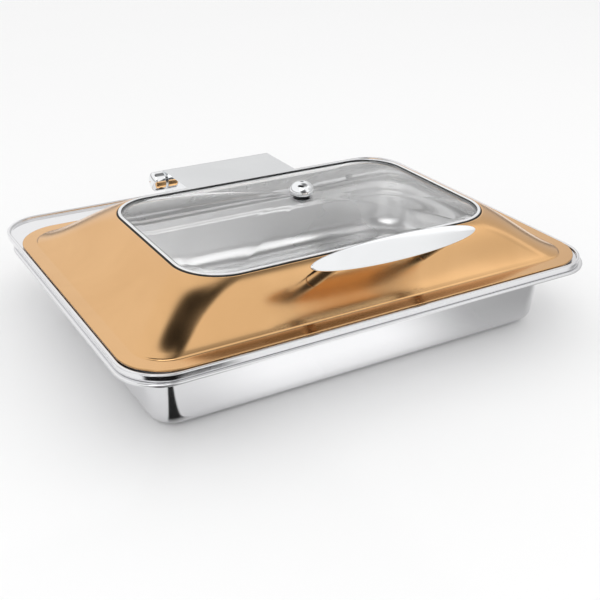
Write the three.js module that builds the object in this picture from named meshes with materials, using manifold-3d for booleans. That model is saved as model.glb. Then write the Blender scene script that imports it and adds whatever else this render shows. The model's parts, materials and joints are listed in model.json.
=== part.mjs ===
// Rectangular chafer with a rear-hinged, glass-windowed lid.
// Millimetres, +Z up, +X to the right, the handle side faces -Y.
// Origin: the middle of the flat face that it stands on.
import * as THREE from "three";
import { mergeVertices } from "three/addons/utils/BufferGeometryUtils.js";
import Module from "manifold-3d";

const wasm = await Module();
wasm.setup();

// ---- driving dimensions -------------------------------------------------
const GAP = 0.3; // clearance between pieces that touch
const CORNER_STEPS = 6; // facets in each corner of a rounded rectangle
const ROUND_STEPS = 24; // facets round a large turned piece
const SMALL_STEPS = 10; // facets round a fastener

const LID_PLANE = 97; // top of the lid's flat border
const LID_LENGTH = 580;
const LID_WIDTH = 398;
const LID_CORNER = 53;
const LID_SHEET = 1.2;
const LID_HEM = 2.2; // depth of the lid's turned-down edge
const BORDER_WIDTH = 18; // flat border outside the pressed bead
const BEAD_HEIGHT = 1.5;
const FLANK_STEPS = 7;
const FLANK_EASE = 0.4; // share of S-curve in the flank, the rest is straight

const WINDOW_LENGTH = 395; // outside of the trim ring
const WINDOW_WIDTH = 248;
const WINDOW_CORNER = 53;
const WINDOW_SHIFT = -7; // the window sits forward of the lid's middle
const WINDOW_RISE = 49.3; // top of the trim ring above the border
const RING_FLANGE = 3.6;
const RING_SHEET = 1;
const GASKET_WALL = 1.7;
const GASKET_BASE = 1.2;
const GASKET_PROUD = 1; // top of the gasket below the top of the ring
const LEDGE_WIDTH = 10; // ledge that carries the gasket and the glass
const GLASS = 4;
const GLASS_MARGIN = 5; // flat edge of the glass, held by the ring
const GLASS_CROWN = 18; // rise of the dome over its flat edge
const EDGE_DROP = 1.6; // lid's edge at the window below the top of the ring
const DOME_STEPS = 6;

const RIM_REACH = 4.8; // frame's rim beyond the lid's edge
const RIM_CORNER = 50;
const RIM_DROP = 1; // top of the rim below the lid's border
const RIM_BEAD = 3.6;
const FRAME_SHEET = 1;
const LAND_DROP = 4.5; // frame's flat land below the lid's border
const SHELF_DEPTH = 46; // hinge shelf behind the lid's rear edge
const SKIRT = 4; // depth of the frame's skirt below the land
const SEAT_DEPTH = 3; // step down from the land to the food pan's seat
const COLLAR = 12; // depth of the frame's inner turned-down wall
const COLLAR_CORNER = 50;

const LIP_REACH = 3.2; // water pan's lip beyond the frame's rim
const PAN_SHIFT = 1.5; // the pan sits back of the lid's middle
const LIP_ROLL = 1.9; // radius of the rolled lip
const PAN_SHEET = 1.2;
const PAN_LENGTH = 524; // outside of the pan's wall, at the top
const PAN_WIDTH = 338;
const PAN_CORNER = 36;
const PAN_TAPER = 5.5;
const PAN_FILLET = 17;
const PLATE_THICK = 2.7; // bonded base plate
const PLATE_INSET = 26; // plate's edge inside the foot of the wall

const FOOD_LENGTH = 530; // GN 1/1 flange
const FOOD_WIDTH = 325;
const FOOD_CORNER = 26;
const FOOD_NECK_CORNER = 52;
const FOOD_SHEET = 0.9;
const FOOD_DEPTH = 65;
const FOOD_FLANGE = 9;
const FOOD_SHOULDER = 9; // depth of the stacking shoulder
const FOOD_STEP = 3.5; // width of the stacking shoulder
const FOOD_TAPER = 3;
const FOOD_FILLET = 22;
const SEAT_PLAY = 1.8; // play round the food pan

const FOOT_SHARE = 0.64; // handle's foot, from the bead (0) to the window (1)
const POST_RADIUS = 7.5;
const POST_LENGTH = 57;
const POST_SPREAD = 144;
const POST_BORE = 2.7;
const BLADE_LENGTH = 206;
const BLADE_WIDTH = 27;
const BLADE_THICK = 3.4;
const HANDLE_SCREW = 2.4;
const HANDLE_SCREW_LENGTH = 14;
const HANDLE_WASHER = 1.2;
const UNDER_PLAY = 0.5; // play under the lid's sheet, for its curve

const VENT_RADIUS = 14.3;
const VENT_HEIGHT = 14.5;
const VENT_HOLE = 6; // hole in the glass
const VENT_STEM = 3;
const VENT_BORE = 1.5;
const GROMMET_FLANGE = 1.4;
const GROMMET_TOP = 11.5; // radius of its flange over the glass
const GROMMET_UNDER = 10; // radius of its flange under the glass
const GROMMET_PLAY = 0.4;
const VENT_NUT_ACROSS = 12;
const VENT_NUT = 3.2;
const VENT_STEM_END = 5; // stem below the grommet

const AXIS_BACK = 17; // hinge axis behind the lid's rear edge
const COVER_DROP = 9.3; // top of the hinge cover below the top of the ring
const COVER_HALF = 79;
const COVER_SHEET = 1.2;
const COVER_RADIUS = 13;
const COVER_WRAP = Math.PI / 4; // how far the cover wraps behind the axis
const SHAFT = 4;
const SHAFT_LEFT = -91;
const SHAFT_RIGHT = 62;
const EAR_IN = 53; // inner face of a bracket ear
const EAR_THICK = 4;
const BUSH_WALL = 1.1;
const KNUCKLE_HALF = 28;
const WEB_X = 24;
const WEB_THICK = 4;
const ARM_HALF = 50;
const ARM_FOOT = 18; // length of the arm's foot down the flank
const ARM_THICK = 2.5;
const ARM_LIFT = 0.6; // gap under the foot, over the curve of the flank
const ARM_SCREWS = [-39, -13, 13, 39];
const COVER_SCREWS = [-68, 68];
const TAB_WIDTH = 18;
const M4 = 2;
const M4_NUT_ACROSS = 8;
const M4_NUT = 3;
const FLANK_SCREW = 8; // length of a screw through the flank
const BRACKET_SCREW = 10;
const BRACKET_HALF = 60;
const BRACKET_FRONT = -11; // front edge of the bracket's plate from the axis
const BRACKET_REAR = 21;
const BRACKET_THICK = 2.5;
const BRACKET_SCREWS = [[-40, 1], [40, 1], [-40, 15], [40, 15]]; // from the axis
const KNOB_LENGTH = 18;
const KNOB_FACE = 1.5; // gap between knob and cover
const BUMPER_RADIUS = 5;
const BUMPER_INSET = 90; // bumpers from the ends of the lid

// ---- finishes -----------------------------------------------------------
function finish(color, roughness, metalness) {
  return () => new THREE.MeshStandardMaterial({ color, roughness, metalness });
}
const roseGold = finish(0xdeb282, 0.12, 1);
const chrome = finish(0xe4e6e8, 0.08, 1);
const mirrorSteel = finish(0xd5d6d8, 0.1, 1);
const satinSteel = finish(0xb4b6b8, 0.35, 1);
const blackRubber = finish(0x141414, 0.7, 0);
const zincSteel = finish(0xa9acb0, 0.4, 1);
const damperBlack = finish(0x24262a, 0.5, 0);
function clearGlass() {
  return new THREE.MeshStandardMaterial({
    color: 0xdfe8ea, roughness: 0.03, metalness: 0, transparent: true, opacity: 0.25,
  });
}

// ---- shape helpers ------------------------------------------------------
// An outline is a rounded rectangle: half sizes x and y, corner radius r,
// and the y of its middle.
function outline(length, width, r, mid = 0) {
  return { x: length / 2, y: width / 2, r, mid };
}

function inset(o, d) {
  return { x: o.x - d, y: o.y - d, r: Math.max(o.r - d, 1), mid: o.mid };
}

function between(a, b, t) {
  const mix = (key) => a[key] + (b[key] - a[key]) * t;
  return { x: mix("x"), y: mix("y"), r: mix("r"), mid: mix("mid") };
}

function at(o, z) {
  return { ...o, z };
}

// Points round one outline, counter-clockwise seen from above.
function ringPoints(o) {
  const points = [];
  for (let corner = 0; corner < 4; corner++) {
    const sx = corner === 0 || corner === 3 ? 1 : -1;
    const sy = corner < 2 ? 1 : -1;
    for (let step = 0; step <= CORNER_STEPS; step++) {
      const angle = (corner + step / CORNER_STEPS) * Math.PI / 2;
      const x = sx * (o.x - o.r) + o.r * Math.cos(angle);
      const y = o.mid + sy * (o.y - o.r) + o.r * Math.sin(angle);
      points.push(new THREE.Vector3(x, y, o.z));
    }
  }
  return points;
}

function signedVolume(positions, index) {
  const [a, b, c] = [new THREE.Vector3(), new THREE.Vector3(), new THREE.Vector3()];
  let volume = 0;
  for (let i = 0; i < index.length; i += 3) {
    a.fromArray(positions, 3 * index[i]);
    b.fromArray(positions, 3 * index[i + 1]);
    c.fromArray(positions, 3 * index[i + 2]);
    volume += a.dot(b.cross(c)) / 6;
  }
  return volume;
}

function indexed(positions, index) {
  const faces = signedVolume(positions, index) < 0 ? index.slice().reverse() : index;
  const geometry = new THREE.BufferGeometry();
  geometry.setAttribute("position", new THREE.Float32BufferAttribute(positions, 3));
  geometry.setIndex(faces);
  return geometry;
}

// Skin through a list of outlines at heights. A closed sweep joins the last
// section to the first and makes a ring; an open one is capped at both ends.
function sweep(sections, closed) {
  const rings = sections.map(ringPoints);
  const around = rings[0].length;
  const positions = rings.flat().flatMap((p) => p.toArray());
  const index = [];
  const count = closed ? rings.length : rings.length - 1;
  for (let i = 0; i < count; i++) {
    const low = i * around;
    const high = ((i + 1) % rings.length) * around;
    for (let j = 0; j < around; j++) {
      const next = (j + 1) % around;
      index.push(low + j, low + next, high + next);
      index.push(low + j, high + next, high + j);
    }
  }
  if (!closed) {
    capRing(positions, index, sections[0], 0, around, true);
    capRing(positions, index, sections.at(-1), (rings.length - 1) * around, around, false);
  }
  return indexed(positions, index);
}

function capRing(positions, index, section, first, around, reversed) {
  const centre = positions.length / 3;
  positions.push(0, section.mid, section.z);
  for (let j = 0; j < around; j++) {
    const next = (j + 1) % around;
    const [a, b] = reversed ? [next, j] : [j, next];
    index.push(first + a, first + b, centre);
  }
}

// Turned piece from [radius, height] points, about +Z.
function turned(profile, steps) {
  const points = profile.map(([r, z]) => new THREE.Vector2(r, z));
  const lathe = new THREE.LatheGeometry(points, steps).rotateX(Math.PI / 2);
  return indexed(Array.from(lathe.attributes.position.array), Array.from(lathe.index.array));
}

// Turned ring: the profile closes on itself.
function turnedRing(profile, steps) {
  return turned([...profile, profile[0]], steps);
}

function tube(inner, outer, from, to, steps) {
  return turnedRing([[inner, from], [outer, from], [outer, to], [inner, to]], steps);
}

function rod(radius, from, to, steps) {
  return turned([[0, from], [radius, from], [radius, to], [0, to]], steps);
}

// Lays a piece made along +Z along +X.
function alongX(geometry) {
  return geometry.rotateY(Math.PI / 2);
}

// Plate from an outline of [y, z] points, from x = a to x = b.
function sidePlate(points, a, b) {
  const shape = new THREE.Shape(points.map(([y, z]) => new THREE.Vector2(y, z)));
  const plate = new THREE.ExtrudeGeometry(shape, { depth: b - a, bevelEnabled: false });
  plate.applyMatrix4(new THREE.Matrix4().makeBasis(
    new THREE.Vector3(0, 1, 0), new THREE.Vector3(0, 0, 1), new THREE.Vector3(1, 0, 0)));
  return plate.translate(a, 0, 0);
}

function box(x0, x1, y0, y1, z0, z1) {
  const geometry = new THREE.BoxGeometry(x1 - x0, y1 - y0, z1 - z0);
  return geometry.translate((x0 + x1) / 2, (y0 + y1) / 2, (z0 + z1) / 2);
}

function solid(geometry) {
  const bare = geometry.clone();
  bare.deleteAttribute("normal");
  bare.deleteAttribute("uv");
  const merged = mergeVertices(bare, 1e-4);
  const vertProperties = new Float32Array(merged.attributes.position.array);
  const triVerts = new Uint32Array(indexed(vertProperties, Array.from(merged.index.array)).index.array);
  return new wasm.Manifold(new wasm.Mesh({ numProp: 3, vertProperties, triVerts }));
}

function surface(manifold) {
  const mesh = manifold.getMesh();
  return indexed(Array.from(mesh.vertProperties), Array.from(mesh.triVerts));
}

function cut(geometry, tools) {
  return surface(tools.reduce((body, tool) => body.subtract(solid(tool)), solid(geometry)));
}

function join(geometry, others) {
  return surface(others.reduce((body, other) => body.add(solid(other)), solid(geometry)));
}

const chafer = new THREE.Group();

function part(name, geometry, material, parent = chafer) {
  const mesh = new THREE.Mesh(geometry, material());
  mesh.name = name;
  parent.add(mesh);
  return mesh;
}

// ---- outlines that several pieces share ---------------------------------
const lidEdge = outline(LID_LENGTH, LID_WIDTH, LID_CORNER);
const lidBead = inset(lidEdge, BORDER_WIDTH);
const ringEdge = outline(WINDOW_LENGTH, WINDOW_WIDTH, WINDOW_CORNER, WINDOW_SHIFT);
const gasketEdge = inset(ringEdge, -GAP - GASKET_WALL);
const flankTop = inset(gasketEdge, -GAP - LID_SHEET);
const rimEdge = { ...inset(lidEdge, -RIM_REACH), r: RIM_CORNER };
const shelfRear = LID_WIDTH / 2 + SHELF_DEPTH;
const frameEdge = {
  x: rimEdge.x, y: (shelfRear + rimEdge.y) / 2, r: rimEdge.r, mid: (shelfRear - rimEdge.y) / 2,
};
const lipEdge = {
  x: rimEdge.x + LIP_REACH, y: rimEdge.y + LIP_REACH + PAN_SHIFT, r: RIM_CORNER, mid: PAN_SHIFT,
};
const foodEdge = outline(FOOD_LENGTH, FOOD_WIDTH, FOOD_CORNER);
const seatEdge = inset(foodEdge, -SEAT_PLAY);
const collarEdge = { ...inset(foodEdge, FOOD_FLANGE - SEAT_PLAY), r: COLLAR_CORNER };

// ---- heights that several pieces share ----------------------------------
const beadTop = LID_PLANE + BEAD_HEIGHT;
const ringTop = LID_PLANE + WINDOW_RISE;
const glassTop = ringTop - RING_SHEET - GAP;
const glassFoot = glassTop - GLASS;
const gasketFoot = glassFoot - GAP - GASKET_BASE;
const ledgeTop = gasketFoot - GAP;
const flankRise = ringTop - EDGE_DROP - beadTop;
const rimTop = LID_PLANE - RIM_DROP;
const landTop = LID_PLANE - LAND_DROP;
const skirtFoot = landTop - SKIRT;
const seatTop = landTop - SEAT_DEPTH;
const lipTop = skirtFoot - GAP;

// ---- hinge axis and what is round about it ------------------------------
const axisY = LID_WIDTH / 2 + AXIS_BACK;
const axisZ = ringTop - COVER_DROP - COVER_RADIUS;
const earRadius = COVER_RADIUS - COVER_SHEET - 1;
const knuckleRadius = earRadius - 0.8;
const damperRadius = knuckleRadius - 0.5;
const knobRadius = COVER_RADIUS - 0.5;
const bracketScrews = BRACKET_SCREWS.map(([x, y]) => [x, axisY + y]);

// ---- flank of the lid ---------------------------------------------------
// Share of the rise that the flank has reached at share t of its run.
function flankEase(t) {
  return (1 - FLANK_EASE) * t + FLANK_EASE * (3 * t * t - 2 * t * t * t);
}

function flankSlopeShare(t) {
  return (1 - FLANK_EASE) + FLANK_EASE * 6 * t * (1 - t);
}

// Point on the flank's middle line and its tilt, at the front or the rear.
function flankPlace(t, side) {
  const start = lidBead.mid + side * lidBead.y;
  const end = flankTop.mid + side * flankTop.y;
  const run = Math.abs(end - start);
  return {
    y: start + (end - start) * t,
    z: beadTop + flankRise * flankEase(t),
    tilt: Math.atan(flankRise / run * flankSlopeShare(t)),
  };
}

const handleFoot = flankPlace(FOOT_SHARE, -1);
const armFoot = flankPlace(0.5, 1);

// Group whose +Z is the flank's outward normal at that place.
function flankGroup(place, side) {
  const group = new THREE.Group();
  group.position.set(0, place.y, place.z);
  group.rotation.x = -side * place.tilt;
  group.updateMatrixWorld();
  chafer.add(group);
  return group;
}

const handleGroup = flankGroup(handleFoot, -1);
const armGroup = flankGroup(armFoot, 1);

// Hole tool through the flank, in the group's own frame.
function flankHole(group, x, radius) {
  return rod(radius, -12, 12, SMALL_STEPS).translate(x, 0, 0).applyMatrix4(group.matrixWorld);
}

// ---- base ---------------------------------------------------------------
const wallTop = outline(PAN_LENGTH, PAN_WIDTH, PAN_CORNER, PAN_SHIFT);
const wallFoot = inset(wallTop, PAN_TAPER);
const panFoot = PLATE_THICK + GAP;

// Quarter round from a flat floor up to a wall.
function floorRound(wall, radius, floor, steps, up) {
  const sections = [];
  for (let i = 0; i <= steps; i++) {
    const angle = (i / steps) * Math.PI / 2;
    const reach = radius * (1 - Math.sin(angle));
    sections.push(at(inset(wall, reach), floor + radius * (1 - Math.cos(angle))));
  }
  return up ? sections : sections.reverse();
}

function rolledLip(edge, radius, top) {
  const sections = [];
  for (let i = 0; i <= 6; i++) {
    const angle = Math.PI + i * Math.PI / 4;
    const reach = radius + radius * Math.cos(angle - Math.PI);
    sections.push(at(inset(edge, reach), top - radius + radius * Math.sin(angle)));
  }
  return sections;
}

function waterPan() {
  const shoulder = lipTop - 5;
  const inner = (o) => inset(o, PAN_SHEET);
  return sweep([
    ...floorRound(wallFoot, PAN_FILLET, panFoot, 4, true),
    at(wallTop, shoulder),
    at(inset(wallTop, -1.5), lipTop - PAN_SHEET),
    at(inset(lipEdge, 2 * LIP_ROLL), lipTop - PAN_SHEET),
    ...rolledLip(lipEdge, LIP_ROLL, lipTop),
    at(inset(wallTop, -1.5 + PAN_SHEET), lipTop),
    at(inner(wallTop), shoulder),
    ...floorRound(inner(wallFoot), PAN_FILLET - PAN_SHEET, panFoot + PAN_SHEET, 4, false),
  ], false);
}

function inductionPlate() {
  const edge = inset(wallFoot, PLATE_INSET);
  return sweep([
    at(inset(edge, 0.6), 0),
    at(edge, 0.6),
    at(edge, PLATE_THICK),
  ], false);
}

function topFrame() {
  const collarFoot = seatTop - COLLAR;
  const under = (z) => z - FRAME_SHEET;
  const frame = sweep([
    at(frameEdge, skirtFoot),
    at(frameEdge, rimTop - 0.8),
    at(inset(frameEdge, 0.8), rimTop),
    at(inset(frameEdge, RIM_BEAD - 0.8), rimTop),
    at(inset(frameEdge, RIM_BEAD), rimTop - 0.8),
    at(inset(frameEdge, RIM_BEAD), landTop),
    at(seatEdge, landTop),
    at(seatEdge, seatTop),
    at(inset(collarEdge, -1), seatTop),
    at(collarEdge, seatTop - 1),
    at(collarEdge, collarFoot),
    at(inset(collarEdge, -FRAME_SHEET), collarFoot),
    at(inset(collarEdge, -FRAME_SHEET), under(seatTop)),
    at(inset(seatEdge, -FRAME_SHEET), under(seatTop)),
    at(inset(seatEdge, -FRAME_SHEET), under(landTop)),
    at(inset(frameEdge, FRAME_SHEET), under(landTop)),
    at(inset(frameEdge, FRAME_SHEET), skirtFoot),
  ], true);
  const holes = bracketScrews.map(([x, y]) =>
    rod(M4 + GAP, landTop - 5, landTop + 5, SMALL_STEPS).translate(x, y, 0));
  return cut(frame, holes);
}

function foodPan() {
  const flangeFoot = seatTop + GAP;
  const flangeTop = flangeFoot + FOOD_SHEET;
  const neck = { ...inset(foodEdge, FOOD_FLANGE), r: FOOD_NECK_CORNER };
  const shoulder = flangeFoot - FOOD_SHOULDER;
  const wall = inset(neck, FOOD_STEP);
  const foot = inset(wall, FOOD_TAPER);
  const floor = flangeTop - FOOD_DEPTH - FOOD_SHEET;
  const inner = (o) => inset(o, FOOD_SHEET);
  return sweep([
    ...floorRound(foot, FOOD_FILLET, floor, 4, true),
    at(wall, shoulder - FOOD_STEP),
    at(neck, shoulder),
    at(neck, flangeFoot),
    at(foodEdge, flangeFoot),
    at(foodEdge, flangeTop),
    at(inner(neck), flangeTop),
    at(inner(neck), shoulder + 0.5),
    at(inner(wall), shoulder - FOOD_STEP + 0.5),
    ...floorRound(inner(foot), FOOD_FILLET - FOOD_SHEET, floor + FOOD_SHEET, 4, false),
  ], false);
}

part("induction_plate", inductionPlate(), satinSteel);
part("water_pan", waterPan(), mirrorSteel);
part("top_frame", topFrame(), mirrorSteel);
part("food_pan", foodPan(), satinSteel);

// ---- lid ----------------------------------------------------------------
function flankSections(drop, reversed) {
  const sections = [];
  for (let i = 0; i <= FLANK_STEPS; i++) {
    const t = i / FLANK_STEPS;
    sections.push(at(between(lidBead, flankTop, t), beadTop + flankRise * flankEase(t) - drop));
  }
  return reversed ? sections.reverse() : sections;
}

function lidShell() {
  const hemFoot = LID_PLANE - LID_HEM;
  const under = LID_PLANE - LID_SHEET;
  const ledgeEdge = inset(flankTop, LEDGE_WIDTH);
  const shell = sweep([
    at(lidEdge, hemFoot),
    at(lidEdge, LID_PLANE - 0.5),
    at(inset(lidEdge, 0.5), LID_PLANE),
    at(inset(lidBead, -BEAD_HEIGHT), LID_PLANE),
    ...flankSections(0, false),
    at(inset(flankTop, LID_SHEET), ledgeTop),
    at(ledgeEdge, ledgeTop),
    at(ledgeEdge, ledgeTop - LID_SHEET),
    at(flankTop, ledgeTop - LID_SHEET),
    ...flankSections(1.4 * LID_SHEET, true),
    at(inset(lidBead, -BEAD_HEIGHT), under),
    at(inset(lidEdge, LID_SHEET), under),
    at(inset(lidEdge, LID_SHEET), hemFoot),
  ], true);
  const holes = [-1, 1].map((side) =>
    flankHole(handleGroup, side * POST_SPREAD / 2, HANDLE_SCREW + GAP));
  for (const x of [...ARM_SCREWS, ...COVER_SCREWS]) {
    holes.push(flankHole(armGroup, x, M4 + GAP));
  }
  return cut(shell, holes);
}

function windowGasket() {
  const innerEdge = inset(flankTop, LEDGE_WIDTH + 1);
  const wallIn = inset(gasketEdge, GASKET_WALL);
  const top = ringTop - GASKET_PROUD;
  return sweep([
    at(gasketEdge, gasketFoot),
    at(gasketEdge, top - 0.6),
    at(inset(gasketEdge, 0.8), top),
    at(inset(wallIn, -0.4), top),
    at(wallIn, gasketFoot + GASKET_BASE),
    at(innerEdge, gasketFoot + GASKET_BASE),
    at(innerEdge, gasketFoot),
  ], true);
}

function windowRing() {
  const flangeIn = inset(ringEdge, RING_FLANGE);
  const wallIn = inset(ringEdge, RING_SHEET);
  return sweep([
    at(ringEdge, glassFoot),
    at(ringEdge, ringTop - 0.5),
    at(inset(ringEdge, 0.5), ringTop),
    at(flangeIn, ringTop),
    at(flangeIn, ringTop - RING_SHEET),
    at(wallIn, ringTop - RING_SHEET),
    at(wallIn, glassFoot),
  ], true);
}

const ventRing = { x: VENT_HOLE, y: VENT_HOLE, r: VENT_HOLE, mid: WINDOW_SHIFT };

function domeSections(from, floor, rise, reversed) {
  const sections = [];
  for (let i = 0; i <= DOME_STEPS; i++) {
    const t = i / DOME_STEPS;
    sections.push(at(between(from, ventRing, t), floor + rise * (1 - (1 - t) * (1 - t))));
  }
  return reversed ? sections.reverse() : sections;
}

function windowGlass() {
  const edge = inset(ringEdge, RING_SHEET + GAP);
  const domeEdge = inset(edge, GLASS_MARGIN);
  return sweep([
    at(edge, glassFoot),
    at(edge, glassTop),
    ...domeSections(domeEdge, glassTop, GLASS_CROWN, false),
    ...domeSections(domeEdge, glassFoot, GLASS_CROWN, true),
  ], true);
}

const crownTop = glassTop + GLASS_CROWN;
const crownFoot = glassFoot + GLASS_CROWN;
const grommetFoot = crownFoot - GAP - GROMMET_PLAY - GROMMET_FLANGE;

function ventGrommet() {
  const neck = VENT_HOLE - GAP - GROMMET_PLAY;
  const bore = VENT_STEM + GAP;
  const low = grommetFoot + GROMMET_FLANGE;
  const high = crownTop + GAP;
  const top = high + GROMMET_FLANGE;
  return turnedRing([
    [bore, grommetFoot], [GROMMET_UNDER, grommetFoot], [GROMMET_UNDER, low], [neck, low],
    [neck, high], [GROMMET_TOP, high], [GROMMET_TOP, top], [bore, top],
  ], ROUND_STEPS);
}

function ventCap() {
  const foot = crownTop + 2 * GAP + GROMMET_FLANGE;
  const stemEnd = grommetFoot - GAP - VENT_STEM_END;
  const profile = [[VENT_BORE, stemEnd], [VENT_STEM, stemEnd], [VENT_STEM, foot], [VENT_RADIUS - 1, foot]];
  profile.push([VENT_RADIUS, foot + 1]);
  for (let i = 0; i <= 6; i++) {
    const angle = (i / 6) * Math.PI / 2;
    const reach = VENT_BORE + (VENT_RADIUS - VENT_BORE) * Math.cos(angle);
    profile.push([reach, foot + 3 + (VENT_HEIGHT - 3) * Math.sin(angle)]);
  }
  return turnedRing(profile, ROUND_STEPS);
}

// Hexagon nut, its bore as wide across flats as a round bore of that radius.
function hexNut(bore, across, height) {
  const inner = bore / Math.cos(Math.PI / 6);
  return turnedRing([[inner, 0], [across / 2, 0], [across / 2, height], [inner, height]], 6);
}

part("lid_shell", lidShell(), roseGold);
part("window_gasket", windowGasket(), blackRubber);
part("window_ring", windowRing(), mirrorSteel);
part("window_glass", windowGlass(), clearGlass);
part("vent_grommet", ventGrommet(), blackRubber).position.y = WINDOW_SHIFT;
part("vent_cap", ventCap(), chrome).position.y = WINDOW_SHIFT;
part("vent_nut", hexNut(VENT_STEM + GAP, VENT_NUT_ACROSS, VENT_NUT), zincSteel)
  .position.set(0, WINDOW_SHIFT, grommetFoot - GAP - VENT_NUT);

// ---- handle, in the frame of the front flank ----------------------------
function handlePost() {
  const foot = GAP;
  const top = foot + POST_LENGTH;
  return turned([
    [0, foot + 16], [POST_BORE, foot + 16], [POST_BORE, foot], [POST_RADIUS - 0.8, foot],
    [POST_RADIUS, foot + 0.8], [POST_RADIUS, top - 0.8], [POST_RADIUS - 0.8, top], [0, top],
  ], ROUND_STEPS);
}

function handleBlade() {
  const shape = new THREE.Shape();
  const bevel = 0.8;
  shape.absellipse(0, 0, BLADE_LENGTH / 2 - bevel, BLADE_WIDTH / 2 - bevel, 0, 2 * Math.PI);
  const blade = new THREE.ExtrudeGeometry(shape, {
    depth: BLADE_THICK - 2 * bevel, curveSegments: 16, bevelSize: bevel,
    bevelThickness: bevel, bevelSegments: 2,
  });
  return blade.translate(0, 0, 2 * GAP + POST_LENGTH + bevel);
}

// Pan-head screw from below: the head is under z = 0, the shank above it.
function panScrew(radius, length, under) {
  const head = 2 * radius;
  const high = 1.3 * radius;
  return turned([
    [0, under - high], [head * 0.7, under - high], [head, under - high * 0.5],
    [head, under], [radius, under], [radius, length], [0, length],
  ], SMALL_STEPS);
}

function handle() {
  const inside = -LID_SHEET - UNDER_PLAY;
  const under = inside - HANDLE_WASHER;
  for (const [side, word] of [[-1, "left"], [1, "right"]]) {
    const x = side * POST_SPREAD / 2;
    part(`handle_post_${word}`, handlePost(), chrome, handleGroup).position.x = x;
    part(`handle_washer_${word}`, tube(HANDLE_SCREW + GAP, POST_RADIUS, under, inside, 16),
      zincSteel, handleGroup).position.x = x;
    part(`handle_screw_${word}`, panScrew(HANDLE_SCREW, HANDLE_SCREW_LENGTH, under - GAP), zincSteel,
      handleGroup).position.x = x;
  }
  part("handle_blade", handleBlade(), chrome, handleGroup);
}
handle();

// ---- hinge, base side ---------------------------------------------------
const bushOuter = SHAFT + GAP + BUSH_WALL;
const bracketFoot = landTop + GAP;
const bracketTop = bracketFoot + BRACKET_THICK;

// Arc of [y, z] points about the hinge axis, angles from +Y towards +Z.
function axisArc(radius, from, to, steps) {
  const points = [];
  for (let i = 0; i <= steps; i++) {
    const angle = from + (to - from) * i / steps;
    points.push([axisY + radius * Math.cos(angle), axisZ + radius * Math.sin(angle)]);
  }
  return points;
}

function hingeBracket() {
  const ear = [
    [axisY - 12, bracketTop - 1],
    [axisY + 6, bracketTop - 1],
    ...axisArc(earRadius, -0.3 * Math.PI, 1.15 * Math.PI, 14),
  ];
  const ears = [-1, 1].map((side) => {
    const near = side * EAR_IN;
    const far = side * (EAR_IN + EAR_THICK);
    return sidePlate(ear, Math.min(near, far), Math.max(near, far));
  });
  const plate = box(-BRACKET_HALF, BRACKET_HALF, axisY + BRACKET_FRONT, axisY + BRACKET_REAR,
    bracketFoot, bracketTop);
  const holes = bracketScrews.map(([x, y]) =>
    rod(M4 + GAP, bracketFoot - 5, bracketTop + 5, SMALL_STEPS).translate(x, y, 0));
  holes.push(alongX(rod(bushOuter + GAP, -70, 70, 16)).translate(0, axisY, axisZ));
  return cut(join(plate, ears), holes);
}

function onAxis(name, geometry, material) {
  part(name, alongX(geometry), material).position.set(0, axisY, axisZ);
}

function shaftBush(side) {
  const bore = SHAFT + GAP;
  const outside = EAR_IN + EAR_THICK + GAP;
  const profile = [
    [bore, EAR_IN], [bushOuter, EAR_IN], [bushOuter, outside], [8, outside],
    [8, outside + 1.2], [bore, outside + 1.2],
  ];
  return turnedRing(profile.map(([r, z]) => [r, side * z]), 16);
}

function damper() {
  const bore = SHAFT + GAP;
  const from = KNUCKLE_HALF + 1;
  const to = EAR_IN - GAP;
  return turnedRing([
    [bore, from], [6, from], [6, from + 4], [damperRadius, from + 4], [damperRadius, to], [bore, to],
  ], ROUND_STEPS);
}

function hingeKnob() {
  const near = -COVER_HALF - KNOB_FACE;
  const far = near - KNOB_LENGTH;
  const dome = 6;
  const profile = [[0, SHAFT_LEFT - 1], [SHAFT + GAP, SHAFT_LEFT - 1], [SHAFT + GAP, near]];
  profile.push([knobRadius - 1, near], [knobRadius, near - 1]);
  for (let i = 0; i <= 5; i++) {
    const angle = (i / 6) * Math.PI / 2;
    profile.push([knobRadius * Math.cos(angle), far + dome - dome * Math.sin(angle)]);
  }
  profile.push([2, far], [2, far + 2], [0, far + 2]);
  return turned(profile, ROUND_STEPS);
}

function baseHinge() {
  part("hinge_bracket", hingeBracket(), satinSteel);
  onAxis("hinge_shaft", rod(SHAFT, SHAFT_LEFT, SHAFT_RIGHT, 16), satinSteel);
  for (const [side, word] of [[-1, "left"], [1, "right"]]) {
    onAxis(`shaft_bush_${word}`, shaftBush(side), damperBlack);
    const cartridge = side > 0 ? damper() : damper().rotateX(Math.PI);
    onAxis(`damper_${word}`, cartridge, damperBlack);
  }
  const clip = EAR_IN + EAR_THICK + 2 * GAP + 1.2;
  onAxis("shaft_circlip", tube(SHAFT + GAP, 7, clip, clip + 1.2, 16), zincSteel);
  onAxis("hinge_knob", hingeKnob(), chrome);
  bracketScrews.forEach(([x, y], i) => {
    const screw = panScrew(M4, BRACKET_SCREW, -GAP).rotateX(Math.PI);
    part(`bracket_screw_${i + 1}`, screw, zincSteel).position.set(x, y, bracketTop);
    part(`bracket_nut_${i + 1}`, hexNut(M4 + GAP, M4_NUT_ACROSS, M4_NUT), zincSteel)
      .position.set(x, y, landTop - FRAME_SHEET - GAP - M4_NUT);
  });
}
baseHinge();

// ---- hinge, lid side ----------------------------------------------------
// Point by the rear flank: along the slope (positive up) and off the sheet.
function byFlank(up, off) {
  const cos = Math.cos(armFoot.tilt);
  const sin = Math.sin(armFoot.tilt);
  return [armFoot.y - up * cos + off * sin, armFoot.z + up * sin + off * cos];
}

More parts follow.
